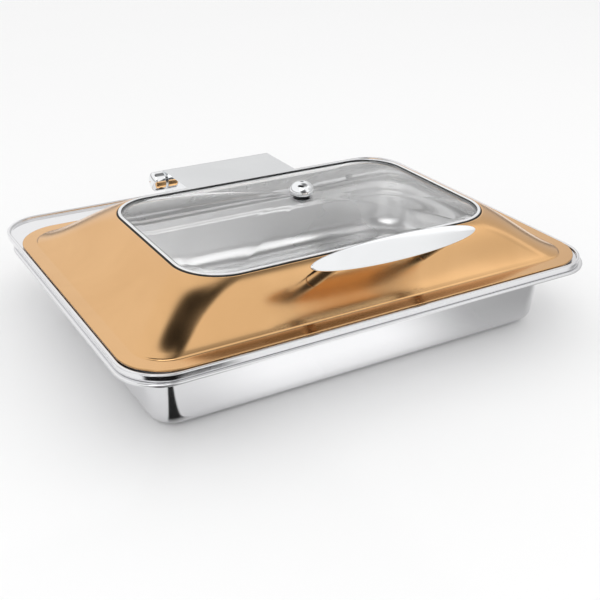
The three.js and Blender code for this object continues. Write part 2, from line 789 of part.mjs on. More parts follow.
function hingeArm() {
  const half = ARM_FOOT / 2;
  const foot = box(-ARM_HALF, ARM_HALF, -half, half, ARM_LIFT, ARM_LIFT + ARM_THICK)
    .applyMatrix4(armGroup.matrixWorld);
  const web = [
    byFlank(half - 1, ARM_LIFT + 0.5), byFlank(1 - half, ARM_LIFT + 0.5),
    [axisY - 2, axisZ - 8], [axisY - 2, axisZ + 8],
  ];
  const webs = [-1, 1].map((side) =>
    sidePlate(web, side * WEB_X - WEB_THICK / 2, side * WEB_X + WEB_THICK / 2));
  const knuckle = alongX(rod(knuckleRadius, -KNUCKLE_HALF, KNUCKLE_HALF, ROUND_STEPS))
    .translate(0, axisY, axisZ);
  const bore = alongX(rod(SHAFT + GAP, -KNUCKLE_HALF - 1, KNUCKLE_HALF + 1, 16))
    .translate(0, axisY, axisZ);
  const holes = ARM_SCREWS.map((x) => flankHole(armGroup, x, M4 + GAP));
  return cut(join(foot, [...webs, knuckle]), [bore, ...holes]);
}

// Cheek of the cover: it follows the flank and the border with a small gap.
function cheekOutline() {
  const clear = 0.6;
  const top = axisZ + COVER_RADIUS;
  const points = [];
  const steps = 8;
  for (let i = 0; i <= steps; i++) {
    const place = flankPlace(i / steps, 1);
    const y = place.y + clear * Math.sin(place.tilt);
    const z = place.z + clear * Math.cos(place.tilt) + 0.2;
    if (z < top - 1) {
      points.push([y, z]);
    }
  }
  const last = points.at(-1);
  const rear = LID_WIDTH / 2 - 3;
  return [
    [last[0] - 2, top],
    ...axisArc(COVER_RADIUS, Math.PI / 2, -Math.PI / 2, 12),
    [rear, LID_PLANE + clear + 2],
    [rear - 2, LID_PLANE + clear],
    [lidBead.y + 3, LID_PLANE + clear],
    [lidBead.y + 2, beadTop + clear],
    ...points,
  ];
}

function hingeCover() {
  const outside = sidePlate(cheekOutline(), -COVER_HALF, COVER_HALF);
  const wrapEnd = Math.PI / 2 - COVER_WRAP;
  const inRadius = COVER_RADIUS - COVER_SHEET;
  const far = COVER_RADIUS + 10;
  const hollow = [
    [armFoot.y - 40, axisZ + inRadius],
    ...axisArc(inRadius, Math.PI / 2, wrapEnd, 4),
    [axisY + far * Math.cos(wrapEnd), axisZ + far * Math.sin(wrapEnd)],
    [axisY + far, LID_PLANE - 10],
    [armFoot.y - 40, LID_PLANE - 10],
  ];
  const inHalf = COVER_HALF - COVER_SHEET;
  const half = ARM_FOOT / 2;
  const tabs = [-1, 1].map((side) => {
    const near = side * (inHalf - TAB_WIDTH);
    const edge = side * (inHalf + COVER_SHEET / 2);
    return box(Math.min(near, edge), Math.max(near, edge), -half, half, ARM_LIFT, ARM_LIFT + COVER_SHEET)
      .applyMatrix4(armGroup.matrixWorld);
  });
  const shaftHole = alongX(rod(SHAFT + 2, -COVER_HALF - 1, -inHalf + 1, 16))
    .translate(0, axisY, axisZ);
  const hood = join(cut(outside, [sidePlate(hollow, -inHalf, inHalf)]), tabs);
  return cut(hood, [shaftHole, ...COVER_SCREWS.map((x) => flankHole(armGroup, x, M4 + GAP))]);
}

// Screw from outside into a nut under the lid, in the rear flank's frame.
function flankFastener(word, x, seat) {
  const screw = panScrew(M4, FLANK_SCREW, -GAP).rotateX(Math.PI);
  part(word.replace("*", "screw"), screw, zincSteel, armGroup).position.set(x, 0, seat);
  part(word.replace("*", "nut"), hexNut(M4 + GAP, M4_NUT_ACROSS, M4_NUT), zincSteel, armGroup)
    .position.set(x, 0, -LID_SHEET - UNDER_PLAY - M4_NUT);
}

function lidHinge() {
  part("hinge_arm", hingeArm(), satinSteel);
  part("hinge_cover", hingeCover(), chrome);
  ARM_SCREWS.forEach((x, i) => flankFastener(`arm_*_${i + 1}`, x, ARM_LIFT + ARM_THICK));
  flankFastener("cover_*_left", COVER_SCREWS[0], ARM_LIFT + COVER_SHEET);
  flankFastener("cover_*_right", COVER_SCREWS[1], ARM_LIFT + COVER_SHEET);
}
lidHinge();

// ---- bumpers between the lid's border and the frame's land --------------
function lidBumpers() {
  const top = LID_PLANE - LID_SHEET - GAP;
  const foot = landTop + GAP;
  const x = LID_LENGTH / 2 - BUMPER_INSET;
  const y = (LID_WIDTH - BORDER_WIDTH) / 2;
  [[-x, -y], [x, -y], [-x, y], [x, y]].forEach((spot, i) => {
    part(`lid_bumper_${i + 1}`, rod(BUMPER_RADIUS, foot, top, 12), blackRubber)
      .position.set(...spot, 0);
  });
}
lidBumpers();

export default chafer;
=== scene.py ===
import json
import logging
import math
from dataclasses import astuple, dataclass
from enum import Enum
from typing import Sequence, TypeVar

import bmesh
import bpy
from mathutils import Matrix, Vector


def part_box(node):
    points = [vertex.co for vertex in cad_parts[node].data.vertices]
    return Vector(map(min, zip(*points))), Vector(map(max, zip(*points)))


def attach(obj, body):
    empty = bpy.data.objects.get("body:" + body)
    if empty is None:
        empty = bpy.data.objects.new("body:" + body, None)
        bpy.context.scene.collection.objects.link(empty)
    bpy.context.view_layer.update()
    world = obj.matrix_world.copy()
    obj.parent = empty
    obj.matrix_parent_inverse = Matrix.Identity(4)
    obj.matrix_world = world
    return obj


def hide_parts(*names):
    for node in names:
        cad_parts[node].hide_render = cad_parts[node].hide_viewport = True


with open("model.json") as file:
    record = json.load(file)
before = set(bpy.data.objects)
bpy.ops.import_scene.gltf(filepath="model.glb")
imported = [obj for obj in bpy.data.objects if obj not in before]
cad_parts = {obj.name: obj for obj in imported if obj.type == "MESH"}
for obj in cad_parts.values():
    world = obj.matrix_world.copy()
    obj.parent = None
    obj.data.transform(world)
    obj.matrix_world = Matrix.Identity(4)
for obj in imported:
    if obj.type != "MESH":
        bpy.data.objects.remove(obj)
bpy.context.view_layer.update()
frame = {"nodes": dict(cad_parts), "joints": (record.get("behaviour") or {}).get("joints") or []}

MM = 0.001
SIDES = ((-1, "left"), (1, "right"))
STRAIGHT_SHARES = (0.02, 0.08, 0.3, 0.5, 0.7, 0.92, 0.98)
MOST_TRIM = 0.42
MOST_SPARE = 0.48
SCREW_RADIUS = 2 * MM
NUT_REACH = 4 * MM
NUT_BORE = 2.3 * MM
log = logging.getLogger("chafer")

Colour = tuple[float, float, float]
Ring = list[Vector]
Section = TypeVar("Section", "Outline", "Turn")


def between(a: float, b: float, share: float) -> float:
    """The value at share of the way from a to b."""
    return a + (b - a) * share


def quarter(steps: int) -> list[float]:
    """Angles from 0 to a right angle, both of them included."""
    return [i / steps * math.pi / 2 for i in range(steps + 1)]


# ---- outlines and skins ---------------------------------------------------
@dataclass(frozen=True)
class Outline:
    """A rounded rectangle at one height: half sizes, corner radius, middle and height."""

    x: float
    y: float
    r: float
    mid: float = 0.0
    z: float = 0.0

    def inset(self, reach: float) -> "Outline":
        """The same outline moved inwards by reach."""
        return Outline(self.x - reach, self.y - reach, max(self.r - reach, MM), self.mid, self.z)

    def at(self, z: float) -> "Outline":
        """The same outline at height z."""
        return Outline(self.x, self.y, self.r, self.mid, z)

    def rounded(self, r: float) -> "Outline":
        """The same outline with corner radius r."""
        return Outline(self.x, self.y, r, self.mid, self.z)

    def toward(self, other: "Outline", share: float) -> "Outline":
        """An outline part of the way to another one, in height too.

        Args:
            other: the outline at share 1.
            share: how far to go, from 0 to 1.

        Returns:
            The outline in between.
        """
        pairs = zip(astuple(self), astuple(other))
        return Outline(*(between(mine, its, share) for mine, its in pairs))

    def distance(self, other: "Outline") -> float:
        """How far the sheet runs between two outlines."""
        across = max(abs(self.x - other.x), abs(self.y - other.y))
        return math.hypot(across, self.z - other.z)

    def points(self, corner_steps: int = 18) -> Ring:
        """Points round the outline, counter-clockwise from above.

        Args:
            corner_steps: steps in each rounded corner.

        Returns:
            The points, with spare ones on the straights that keep them flat.
        """
        corners: list[Ring] = []
        for corner in range(4):
            sx = 1 if corner in (0, 3) else -1
            sy = 1 if corner < 2 else -1
            arc: Ring = []
            for step in range(corner_steps + 1):
                angle = (corner + step / corner_steps) * math.pi / 2
                arc.append(Vector((
                    sx * (self.x - self.r) + self.r * math.cos(angle),
                    self.mid + sy * (self.y - self.r) + self.r * math.sin(angle),
                    self.z,
                )))
            corners.append(arc)
        ring: Ring = []
        for i, arc in enumerate(corners):
            ring.extend(arc)
            start, end = arc[-1], corners[(i + 1) % 4][0]
            ring.extend(start.lerp(end, share) for share in STRAIGHT_SHARES)
        return ring


def outline_of(node: str, r: float, z: float = 0.0) -> Outline:
    """The outline that a CAD node fills, seen from above.

    Args:
        node: the CAD node.
        r: corner radius.
        z: height to give it.

    Returns:
        The outline.
    """
    lo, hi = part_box(node)
    return Outline((hi.x - lo.x) / 2, (hi.y - lo.y) / 2, r, (hi.y + lo.y) / 2, z)


def softened(sections: Sequence[Section], radius: float, closed: bool, steps: int = 5,
             spare: bool = True) -> list[Section]:
    """The sections of a sheet, or the points of a turned profile, with each bend rounded.

    Args:
        sections: the sharp ones in order.
        radius: how far from a bend the rounding starts, at most.
        closed: whether the last one joins the first.
        steps: steps in each rounded bend.
        spare: whether a bend gets a spare section on each side, which keeps the flats flat.

    Returns:
        The rounded ones.
    """
    def trim(here: Section, other: Section) -> float:
        """The share of the way to a neighbour at which the rounding starts."""
        length = here.distance(other)
        return min(radius, MOST_TRIM * length) / max(length, 1e-9)

    out: list[Section] = []
    count = len(sections)
    for i, here in enumerate(sections):
        if not closed and i in (0, count - 1):
            out.append(here)
            continue
        before, after = sections[i - 1], sections[(i + 1) % count]
        trim_in, trim_out = trim(here, before), trim(here, after)
        start, end = here.toward(before, trim_in), here.toward(after, trim_out)
        if spare:
            out.append(here.toward(before, min(1.15 * trim_in, MOST_SPARE)))
        for step in range(steps + 1):
            share = step / steps
            out.append(start.toward(here, share).toward(here.toward(end, share), share))
        if spare:
            out.append(here.toward(after, min(1.15 * trim_out, MOST_SPARE)))
    return out


def finished(name: str, shape: bmesh.types.BMesh) -> bpy.types.Object:
    """Makes an object of a bmesh, smooth shaded with its flats kept flat.

    Args:
        name: the piece's name.
        shape: its mesh, which is freed.

    Returns:
        The new object.
    """
    bmesh.ops.remove_doubles(shape, verts=shape.verts, dist=1e-6)
    bmesh.ops.recalc_face_normals(shape, faces=shape.faces)
    mesh = bpy.data.meshes.new(name)
    shape.to_mesh(mesh)
    shape.free()
    for face in mesh.polygons:
        face.use_smooth = True
    piece = bpy.data.objects.new(name, mesh)
    bpy.context.scene.collection.objects.link(piece)
    flats = piece.modifiers.new("flats", "WEIGHTED_NORMAL")
    flats.mode = "FACE_AREA"
    flats.weight = 50
    return piece


def skin(name: str, rings: Sequence[Ring], closed: bool) -> bpy.types.Object:
    """A piece whose surface runs through rings of points.

    Args:
        name: the piece's name.
        rings: rings with the same number of points.
        closed: whether the last ring joins the first; if not, both ends are capped.

    Returns:
        The new object.
    """
    shape = bmesh.new()
    rows = [[shape.verts.new(point) for point in ring] for ring in rings]
    pairs = list(zip(rows, rows[1:]))
    if closed:
        pairs.append((rows[-1], rows[0]))
    around = len(rows[0])
    for low, high in pairs:
        for j in range(around):
            k = (j + 1) % around
            shape.faces.new((low[j], low[k], high[k], high[j]))
    if not closed:
        shape.faces.new(list(reversed(rows[0])))
        shape.faces.new(rows[-1])
    return finished(name, shape)


def pressed(name: str, sections: Sequence[Outline], closed: bool,
            radius: float) -> bpy.types.Object:
    """A piece pressed or moulded from rounded-rectangle sections, its bends softened."""
    rings = [section.points() for section in softened(sections, radius, closed)]
    return skin(name, rings, closed)


class Round(Enum):
    """The shape of a turned piece's section at one point of its profile."""

    CIRCLE = "circle"
    HEXAGON = "hexagon"


@dataclass(frozen=True)
class Turn:
    """One point of a turned piece's profile: distance from the axis, height and section."""

    r: float
    z: float
    kind: Round = Round.CIRCLE

    def reach(self, angle: float) -> float:
        """The distance from the axis at an angle about it."""
        if self.kind is Round.CIRCLE:
            return self.r
        wedge = math.pi / 3
        return self.r / math.cos((angle % wedge) - wedge / 2)

    def distance(self, other: "Turn") -> float:
        """How far it is to another point of the profile."""
        return math.hypot(self.r - other.r, self.z - other.z)

    def toward(self, other: "Turn", share: float) -> "Turn":
        """The point at share of the way to another one, with this one's section."""
        return Turn(between(self.r, other.r, share), between(self.z, other.z, share), self.kind)


def turned(name: str, profile: Sequence[Turn], place: Matrix, closed: bool = False,
           radius: float = 0.0, steps: int = 72) -> bpy.types.Object:
    """A piece turned about its own +Z.

    Args:
        name: the piece's name.
        profile: its points; an end on the axis is capped instead.
        place: where its axis and origin go.
        closed: whether the profile joins up, which leaves a bore.
        radius: how far from each corner the rounding starts.
        steps: steps round the axis.

    Returns:
        The new object.
    """
    points = [p for p in profile if p.r > 1e-6]
    if radius > 0:
        points = softened(points, radius, closed, 4, False)
    rings: list[Ring] = []
    for point in points:
        ring: Ring = []
        for j in range(steps):
            angle = 2 * math.pi * j / steps
            reach = point.reach(angle)
            ring.append(place @ Vector((reach * math.cos(angle), reach * math.sin(angle), point.z)))
        rings.append(ring)
    return skin(name, rings, closed)


# ---- finishes -------------------------------------------------------------
def combine(tree: bpy.types.NodeTree, how: str, first: bpy.types.NodeSocket,
            second: "bpy.types.NodeSocket | float | None" = None) -> bpy.types.NodeSocket:
    """A value worked out from one or two others.

    Args:
        tree: the nodes that it joins.
        how: the sum to do.
        first: the first value.
        second: the second value or a fixed number, where the sum has one.

    Returns:
        The result.
    """
    node = tree.nodes.new("ShaderNodeMath")
    node.operation = how
    tree.links.new(first, node.inputs[0])
    if isinstance(second, float):
        node.inputs[1].default_value = second
    elif second is not None:
        tree.links.new(second, node.inputs[1])
    return node.outputs[0]


def fade(tree: bpy.types.NodeTree, value: bpy.types.NodeSocket, start: float, end: float,
         low: float = 0.0, high: float = 1.0) -> bpy.types.NodeSocket:
    """A smooth fade from one level to another.

    Args:
        tree: the nodes that it joins.
        value: what it follows.
        start: the value at which it is low.
        end: the value at which it is high.
        low: its level at the start.
        high: its level at the end.

    Returns:
        The faded level.
    """
    node = tree.nodes.new("ShaderNodeMapRange")
    node.interpolation_type = "SMOOTHSTEP"
    limits = {"From Min": start, "From Max": end, "To Min": low, "To Max": high}
    for label, number in limits.items():
        node.inputs[label].default_value = number
    tree.links.new(value, node.inputs["Value"])
    return node.outputs["Result"]


def make_group(name: str, inputs: Sequence[tuple[str, str, float]],
               output: str) -> bpy.types.NodeTree:
    """An empty shader group with named sockets.

    Args:
        name: the group's name.
        inputs: name, socket type and default of each input.
        output: name of its one value.

    Returns:
        The group, with its input and output nodes in place.
    """
    tree = bpy.data.node_groups.new(name, "ShaderNodeTree")
    for label, kind, value in inputs:
        socket = tree.interface.new_socket(name=label, in_out="INPUT", socket_type=kind)
        if kind == "NodeSocketFloat":
            socket.default_value = value
    tree.interface.new_socket(name=output, in_out="OUTPUT", socket_type="NodeSocketFloat")
    tree.nodes.new("NodeGroupInput").name = "in"
    tree.nodes.new("NodeGroupOutput").name = "out"
    return tree


def smudges() -> bpy.types.NodeTree:
    """The shared group for faint wide smears: Mask is 0 where clean and 1 where smeared."""
    tree = bpy.data.node_groups.get("smudges")
    if tree:
        return tree
    tree = make_group("smudges", [
        ("Vector", "NodeSocketVector", 0), ("Scale", "NodeSocketFloat", 9),
    ], "Mask")
    noise = tree.nodes.new("ShaderNodeTexNoise")
    noise.inputs["Detail"].default_value = 3
    noise.inputs["Distortion"].default_value = 0.6
    for label in ("Vector", "Scale"):
        tree.links.new(tree.nodes["in"].outputs[label], noise.inputs[label])
    tree.links.new(fade(tree, noise.outputs["Fac"], 0.36, 0.68), tree.nodes["out"].inputs["Mask"])
    return tree


def worked_grain() -> bpy.types.NodeTree:
    """The shared group for fine working marks: Height runs along the stretched direction."""
    tree = bpy.data.node_groups.get("worked_grain")
    if tree:
        return tree
    tree = make_group("worked_grain", [
        ("Vector", "NodeSocketVector", 0), ("Stretch", "NodeSocketVector", 0),
        ("Scale", "NodeSocketFloat", 300),
    ], "Height")
    drawn = tree.nodes.new("ShaderNodeVectorMath")
    drawn.operation = "MULTIPLY"
    noise = tree.nodes.new("ShaderNodeTexNoise")
    noise.inputs["Detail"].default_value = 5
    noise.inputs["Roughness"].default_value = 0.6
    tree.links.new(tree.nodes["in"].outputs["Vector"], drawn.inputs[0])
    tree.links.new(tree.nodes["in"].outputs["Stretch"], drawn.inputs[1])
    tree.links.new(drawn.outputs[0], noise.inputs["Vector"])
    tree.links.new(tree.nodes["in"].outputs["Scale"], noise.inputs["Scale"])
    tree.links.new(noise.outputs["Fac"], tree.nodes["out"].inputs["Height"])
    return tree


class Working(Enum):
    """How a surface was worked, as the stretch and scale of its marks."""

    POLISHED = ((1.0, 1.0, 1.0), 420.0)
    DRAWN = ((0.06, 1.0, 1.0), 520.0)
    SATIN = ((0.12, 1.0, 0.6), 700.0)
    PLATED = ((1.0, 1.0, 1.0), 1500.0)
    MOULDED = ((1.0, 1.0, 1.0), 1100.0)


@dataclass(frozen=True)
class Finish:
    """A surface finish: its slot in the record, its colours, gloss and working marks."""

    name: str
    slot: str
    colour: Colour
    shade: Colour
    gloss: tuple[float, float]
    working: Working
    relief: float
    metallic: float = 1.0
    transmission: float = 0.0
    ior: float = 1.5
    smear_scale: float = 9.0

    def material(self) -> bpy.types.Material:
        """The finish as a material, made on first use.

        Returns:
            The material.
        """
        known = bpy.data.materials.get(self.name)
        if known:
            return known
        material = bpy.data.materials.new(self.name)
        material.use_nodes = True
        tree = material.node_tree
        shader = tree.nodes["Principled BSDF"]
        shader.inputs["Metallic"].default_value = self.metallic
        shader.inputs["Transmission Weight"].default_value = self.transmission
        shader.inputs["IOR"].default_value = self.ior
        place = tree.nodes.new("ShaderNodeTexCoord").outputs["Object"]
        smear = self.effect(tree, smudges(), place, self.smear_scale)
        marks = self.effect(tree, worked_grain(), place, self.working.value[1])
        marks.inputs["Stretch"].default_value = self.working.value[0]
        tint = tree.nodes.new("ShaderNodeMix")
        tint.data_type = "RGBA"
        tint.inputs["A"].default_value = (*self.colour, 1)
        tint.inputs["B"].default_value = (*self.shade, 1)
        tree.links.new(smear.outputs["Mask"], tint.inputs["Factor"])
        tree.links.new(tint.outputs["Result"], shader.inputs["Base Color"])
        gloss = tree.nodes.new("ShaderNodeMapRange")
        gloss.inputs["To Min"].default_value, gloss.inputs["To Max"].default_value = self.gloss
        tree.links.new(smear.outputs["Mask"], gloss.inputs["Value"])
        tree.links.new(gloss.outputs["Result"], shader.inputs["Roughness"])
        relief = tree.nodes.new("ShaderNodeBump")
        relief.inputs["Strength"].default_value = 1.0
        relief.inputs["Distance"].default_value = self.relief
        tree.links.new(marks.outputs["Height"], relief.inputs["Height"])
        tree.links.new(relief.outputs["Normal"], shader.inputs["Normal"])
        return material

    def effect(self, tree: bpy.types.NodeTree, group: bpy.types.NodeTree,
               place: bpy.types.NodeSocket, scale: float) -> bpy.types.Node:
        """Places a shared group in the material.

        Args:
            tree: the material's nodes.
            group: the shared group.
            place: the coordinates that feed it.
            scale: its scale.

        Returns:
            The group's node.
        """
        node = tree.nodes.new("ShaderNodeGroup")
        node.node_tree = group
        node.inputs["Scale"].default_value = scale
        tree.links.new(place, node.inputs["Vector"])
        return node


ROSE_GOLD = Finish("rose_gold_sheet", "rose_gold", (0.762, 0.460, 0.218), (0.725, 0.430, 0.198),
                   (0.15, 0.2), Working.POLISHED, 0.000002)
CHROME = Finish("bright_chrome", "chrome_trim", (0.90, 0.91, 0.92), (0.86, 0.87, 0.88),
                (0.04, 0.08), Working.POLISHED, 0.0000008)
# Chrome painted darker than the bright chrome: a painted reflection of dark surroundings, given to
# the handle's posts.
SHADED_CHROME = Finish("chrome_painted_shade", "chrome_trim", (0.40, 0.385, 0.37), (0.37, 0.355, 0.34),
                     (0.04, 0.08), Working.POLISHED, 0.0000008)
MIRROR_STEEL = Finish("mirror_steel", "mirror_steel", (0.86, 0.86, 0.87), (0.82, 0.82, 0.83),
                      (0.06, 0.11), Working.DRAWN, 0.000001)
SATIN_STEEL = Finish("satin_steel", "satin_steel", (0.80, 0.80, 0.80), (0.75, 0.75, 0.755),
                     (0.2, 0.27), Working.SATIN, 0.000003)
# Satin steel painted lighter than the plain satin steel: painted light that brightens the food
# pan's inside.
INSERT_LIT = Finish("insert_pan_satin_painted_light", "satin_steel", (0.95, 0.95, 0.95), (0.92, 0.92, 0.925),
                (0.26, 0.36), Working.SATIN, 0.000003)
# Steel for the lid's underside, painted darker than the plain satin steel: painted shade on the
# inside of the lid.
UNDERSIDE_SHADED = Finish("lid_underside_satin_painted_shade", "satin_steel", (0.60, 0.60, 0.60), (0.56, 0.56, 0.565),
                   (0.24, 0.32), Working.SATIN, 0.000003)
ZINC = Finish("zinc_plate", "zinc_steel", (0.62, 0.63, 0.65), (0.54, 0.55, 0.58),
              (0.28, 0.42), Working.PLATED, 0.000004, smear_scale=160)
RUBBER = Finish("black_silicone", "black_rubber", (0.016, 0.016, 0.017), (0.026, 0.026, 0.027),
                (0.5, 0.66), Working.MOULDED, 0.00002, metallic=0.0, smear_scale=60)
DAMPER = Finish("damper_moulding", "damper_black", (0.04, 0.041, 0.045), (0.055, 0.056, 0.06),
                (0.38, 0.5), Working.MOULDED, 0.00002, metallic=0.0, smear_scale=80)
GLASS = Finish("clear_tempered_glass", "clear_glass", (0.994, 0.996, 0.995), (0.99, 0.993, 0.992),
               (0.0, 0.015), Working.POLISHED, 0.0, metallic=0.0, transmission=1.0, ior=1.45)


# ---- sub-assemblies -------------------------------------------------------
class Assembly:
    """What every sub-assembly does with its pieces: dress, mount and report them."""

    body = "base"

    def mount(self, piece: bpy.types.Object, finish: Finish, *nodes: str) -> None:
        """Dresses a piece, stands it for its CAD nodes and lets it ride on the body."""
        piece.data.materials.append(finish.material())
        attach(piece, self.body)
        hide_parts(*nodes)
        log.info("%s: %s on %s for %s", piece.name, finish.name, self.body, ", ".join(nodes))

    def carry(self, finish: Finish, *nodes: str) -> None:
        """Dresses CAD nodes that stay as they are."""
        for node in nodes:
            for slot in frame["nodes"][node].material_slots:
                slot.material = finish.material()
            log.info("%s: %s, kept", node, finish.name)


@dataclass
class WaterPan(Assembly):
    """The deep outer pan with its rolled lip, and the plate bonded under it."""

    sheet: float = 1.2 * MM
    lip_corner: float = 50 * MM
    roll: float = 1.9 * MM
    wall_half: tuple[float, float] = (262 * MM, 169 * MM)
    wall_corner: float = 36 * MM
    taper: float = 5.5 * MM
    fillet: float = 17 * MM
    flare: float = 1.5 * MM
    shoulder: float = 5 * MM
    bend: float = 2 * MM
    plate_corner: float = 5 * MM
    plate_edge: float = 0.6 * MM
    plate_border: float = 8 * MM

    def build(self) -> None:
        """Makes both pieces."""
        self.mount(self.pan(), MIRROR_STEEL, "water_pan")
        self.mount(self.plate(), SATIN_STEEL, "induction_plate")

    def pan(self) -> bpy.types.Object:
        """The pan.

        Returns:
            Its object.
        """
        lo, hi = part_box("water_pan")
        lip = outline_of("water_pan", self.lip_corner)
        wall = Outline(*self.wall_half, self.wall_corner, lip.mid)
        foot = wall.inset(self.taper)
        shoulder, flare = hi.z - self.shoulder, wall.inset(-self.flare)
        outside = floor_round(foot, self.fillet, lo.z)
        inside = floor_round(foot.inset(self.sheet), self.fillet - self.sheet, lo.z + self.sheet)
        ledge = lip.inset(2 * self.roll)
        bends = softened([
            outside[-1], wall.at(shoulder), flare.at(hi.z - self.sheet),
            ledge.at(hi.z - self.sheet),
        ], self.bend, False)
        back = softened([
            ledge.at(hi.z), flare.inset(self.sheet).at(hi.z),
            wall.inset(self.sheet).at(shoulder), inside[-1],
        ], self.bend, False)
        sections = outside[:-1] + bends + self.rolled(lip, hi.z) + back + inside[-2::-1]
        return skin("water_pan_drawn", [s.points() for s in sections], False)

    def rolled(self, lip: Outline, top: float) -> list[Outline]:
        """The roll of the lip, from its inner foot round its outside to its top."""
        sections = []
        for i in range(17):
            angle = math.pi + i * 1.5 * math.pi / 16
            reach = self.roll - self.roll * math.cos(angle)
            height = top - self.roll + self.roll * math.sin(angle)
            sections.append(lip.inset(reach).at(height))
        return sections

    def plate(self) -> bpy.types.Object:
        """The bonded plate that the pan stands on."""
        lo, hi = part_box("induction_plate")
        edge = outline_of("induction_plate", self.plate_corner)
        middle = edge.inset(self.plate_border)
        sections = [middle.at(lo.z), edge.inset(self.plate_edge).at(lo.z),
                    edge.at(lo.z + self.plate_edge), edge.at(hi.z), middle.at(hi.z)]
        return pressed("base_plate", sections, False, 0.5 * MM)


def floor_round(wall: Outline, radius: float, floor: float, steps: int = 14) -> list[Outline]:
    """Sections from a flat floor round into a wall.

    Args:
        wall: the wall's outline.
        radius: radius of the bend.
        floor: height of the floor.
        steps: steps in the bend.

    Returns:
        The sections from the floor up, with spare ones on the flat.
    """
    sections = [wall.inset(radius * 3.6).at(floor), wall.inset(radius * 1.08).at(floor)]
    for angle in quarter(steps):
        reach = radius * (1 - math.sin(angle))
        sections.append(wall.inset(reach).at(floor + radius * (1 - math.cos(angle))))
    return sections


@dataclass
class TopFrame(Assembly):
    """The frame that carries the food pan, the lid and the hinge."""

    corner: float = 50 * MM
    sheet: float = 1.0 * MM
    bead: float = 3.6 * MM
    land_drop: float = 3.5 * MM
    seat_drop: float = 3.0 * MM
    skirt_drop: float = 4 * MM
    bend: float = 1.5 * MM
    seat_half: tuple[float, float] = (266.8 * MM, 164.3 * MM)
    seat_corner: float = 27.8 * MM
    collar_half: tuple[float, float] = (257.8 * MM, 155.3 * MM)
    collar_corner: float = 50 * MM

    def build(self) -> None:
        """Makes the frame."""
        lo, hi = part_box("top_frame")
        edge = outline_of("top_frame", self.corner)
        seat = Outline(*self.seat_half, self.seat_corner)
        collar = Outline(*self.collar_half, self.collar_corner)
        rim = hi.z
        land = rim - self.land_drop
        seat_top = land - self.seat_drop
        skirt = land - self.skirt_drop
        sections = [
            edge.at(skirt), edge.at(rim), edge.inset(self.bead).at(rim),
            edge.inset(self.bead).at(land), seat.at(land), seat.at(seat_top),
            collar.at(seat_top), collar.at(lo.z), collar.inset(-self.sheet).at(lo.z),
            collar.inset(-self.sheet).at(seat_top - self.sheet),
            seat.inset(-self.sheet).at(seat_top - self.sheet),
            seat.inset(-self.sheet).at(land - self.sheet),
            edge.inset(self.sheet).at(land - self.sheet), edge.inset(self.sheet).at(skirt),
        ]
        piece = pressed("top_frame_pressed", sections, True, self.bend)
        self.mount(piece, MIRROR_STEEL, "top_frame")


@dataclass
class FoodPan(Assembly):
    """The gastronorm insert pan with its stacking shoulder."""

    corner: float = 26 * MM
    sheet: float = 0.9 * MM
    flange: float = 9 * MM
    neck_corner: float = 52 * MM
    shoulder: float = 9 * MM
    step: float = 3.5 * MM
    taper: float = 3 * MM
    fillet: float = 22 * MM
    bend: float = 2.2 * MM

    def build(self) -> None:
        """Makes the pan."""
        lo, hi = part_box("food_pan")
        edge = outline_of("food_pan", self.corner)
        neck = edge.inset(self.flange).rounded(self.neck_corner)
        wall = neck.inset(self.step)
        foot = wall.inset(self.taper)
        under = hi.z - self.sheet
        step_z = under - self.shoulder
        outside = floor_round(foot, self.fillet, lo.z)
        inside = floor_round(foot.inset(self.sheet), self.fillet - self.sheet, lo.z + self.sheet)
        middle = softened([
            outside[-1], wall.at(step_z - self.step), neck.at(step_z), neck.at(under),
            edge.at(under), edge.at(hi.z), neck.inset(self.sheet).at(hi.z),
            neck.inset(self.sheet).at(step_z), wall.inset(self.sheet).at(step_z - self.step),
            inside[-1],
        ], self.bend, False)
        sections = outside[:-1] + middle + inside[-2::-1]
        # The food pan's steel is painted lighter, as painted light on its inside.
        self.mount(skin("insert_pan", [s.points() for s in sections], False), INSERT_LIT, "food_pan")


@dataclass
class Flank:
    """The lid's sloping flank, from the pressed bead up to the window."""

    corner: float = 53 * MM
    border: float = 18 * MM
    bead_rise: float = 1.5 * MM
    ease: float = 0.4
    hem: float = 2.2 * MM
    skirt: float = 1.5 * MM
    seal_reach: float = 2.0 * MM

    def __post_init__(self) -> None:
        """Works out the outlines and heights from the CAD boxes."""
        lo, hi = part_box("lid_shell")
        self.edge = outline_of("lid_shell", self.corner)
        self.plane = lo.z + self.hem
        self.bead = self.edge.inset(self.border)
        seal = outline_of("window_gasket", self.corner + self.seal_reach)
        self.top = seal.inset(-self.skirt)
        self.foot_z = self.plane + self.bead_rise
        self.rise = hi.z - self.foot_z

    def share(self, t: float) -> float:
        """Share of the rise reached at share t of the run."""
        return (1 - self.ease) * t + self.ease * (3 * t * t - 2 * t ** 3)

    def sections(self, drop: float, steps: int = 30) -> list[Outline]:
        """Sections up the flank.

        Args:
            drop: how far under the outer surface.
            steps: steps up it.

        Returns:
            The sections from the bead to the window.
        """
        out = []
        for i in range(steps + 1):
            t = i / steps
            height = self.foot_z + self.rise * self.share(t) - drop
            out.append(self.bead.toward(self.top, t).at(height))
        return out

    def place(self, t: float, side: int) -> Matrix:
        """A place on the flank's middle line whose +Z leaves the sheet squarely.

        Args:
            t: share of the run, from the bead.
            side: -1 in front and 1 at the rear.

        Returns:
            The place.
        """
        start = self.bead.mid + side * self.bead.y
        run = self.top.mid + side * self.top.y - start
        slope = (1 - self.ease) + self.ease * 6 * t * (1 - t)
        tilt = math.atan(self.rise / abs(run) * slope)
        spot = Vector((0, start + run * t, self.foot_z + self.rise * self.share(t)))
        return Matrix.Translation(spot) @ Matrix.Rotation(-side * tilt, 4, "X")


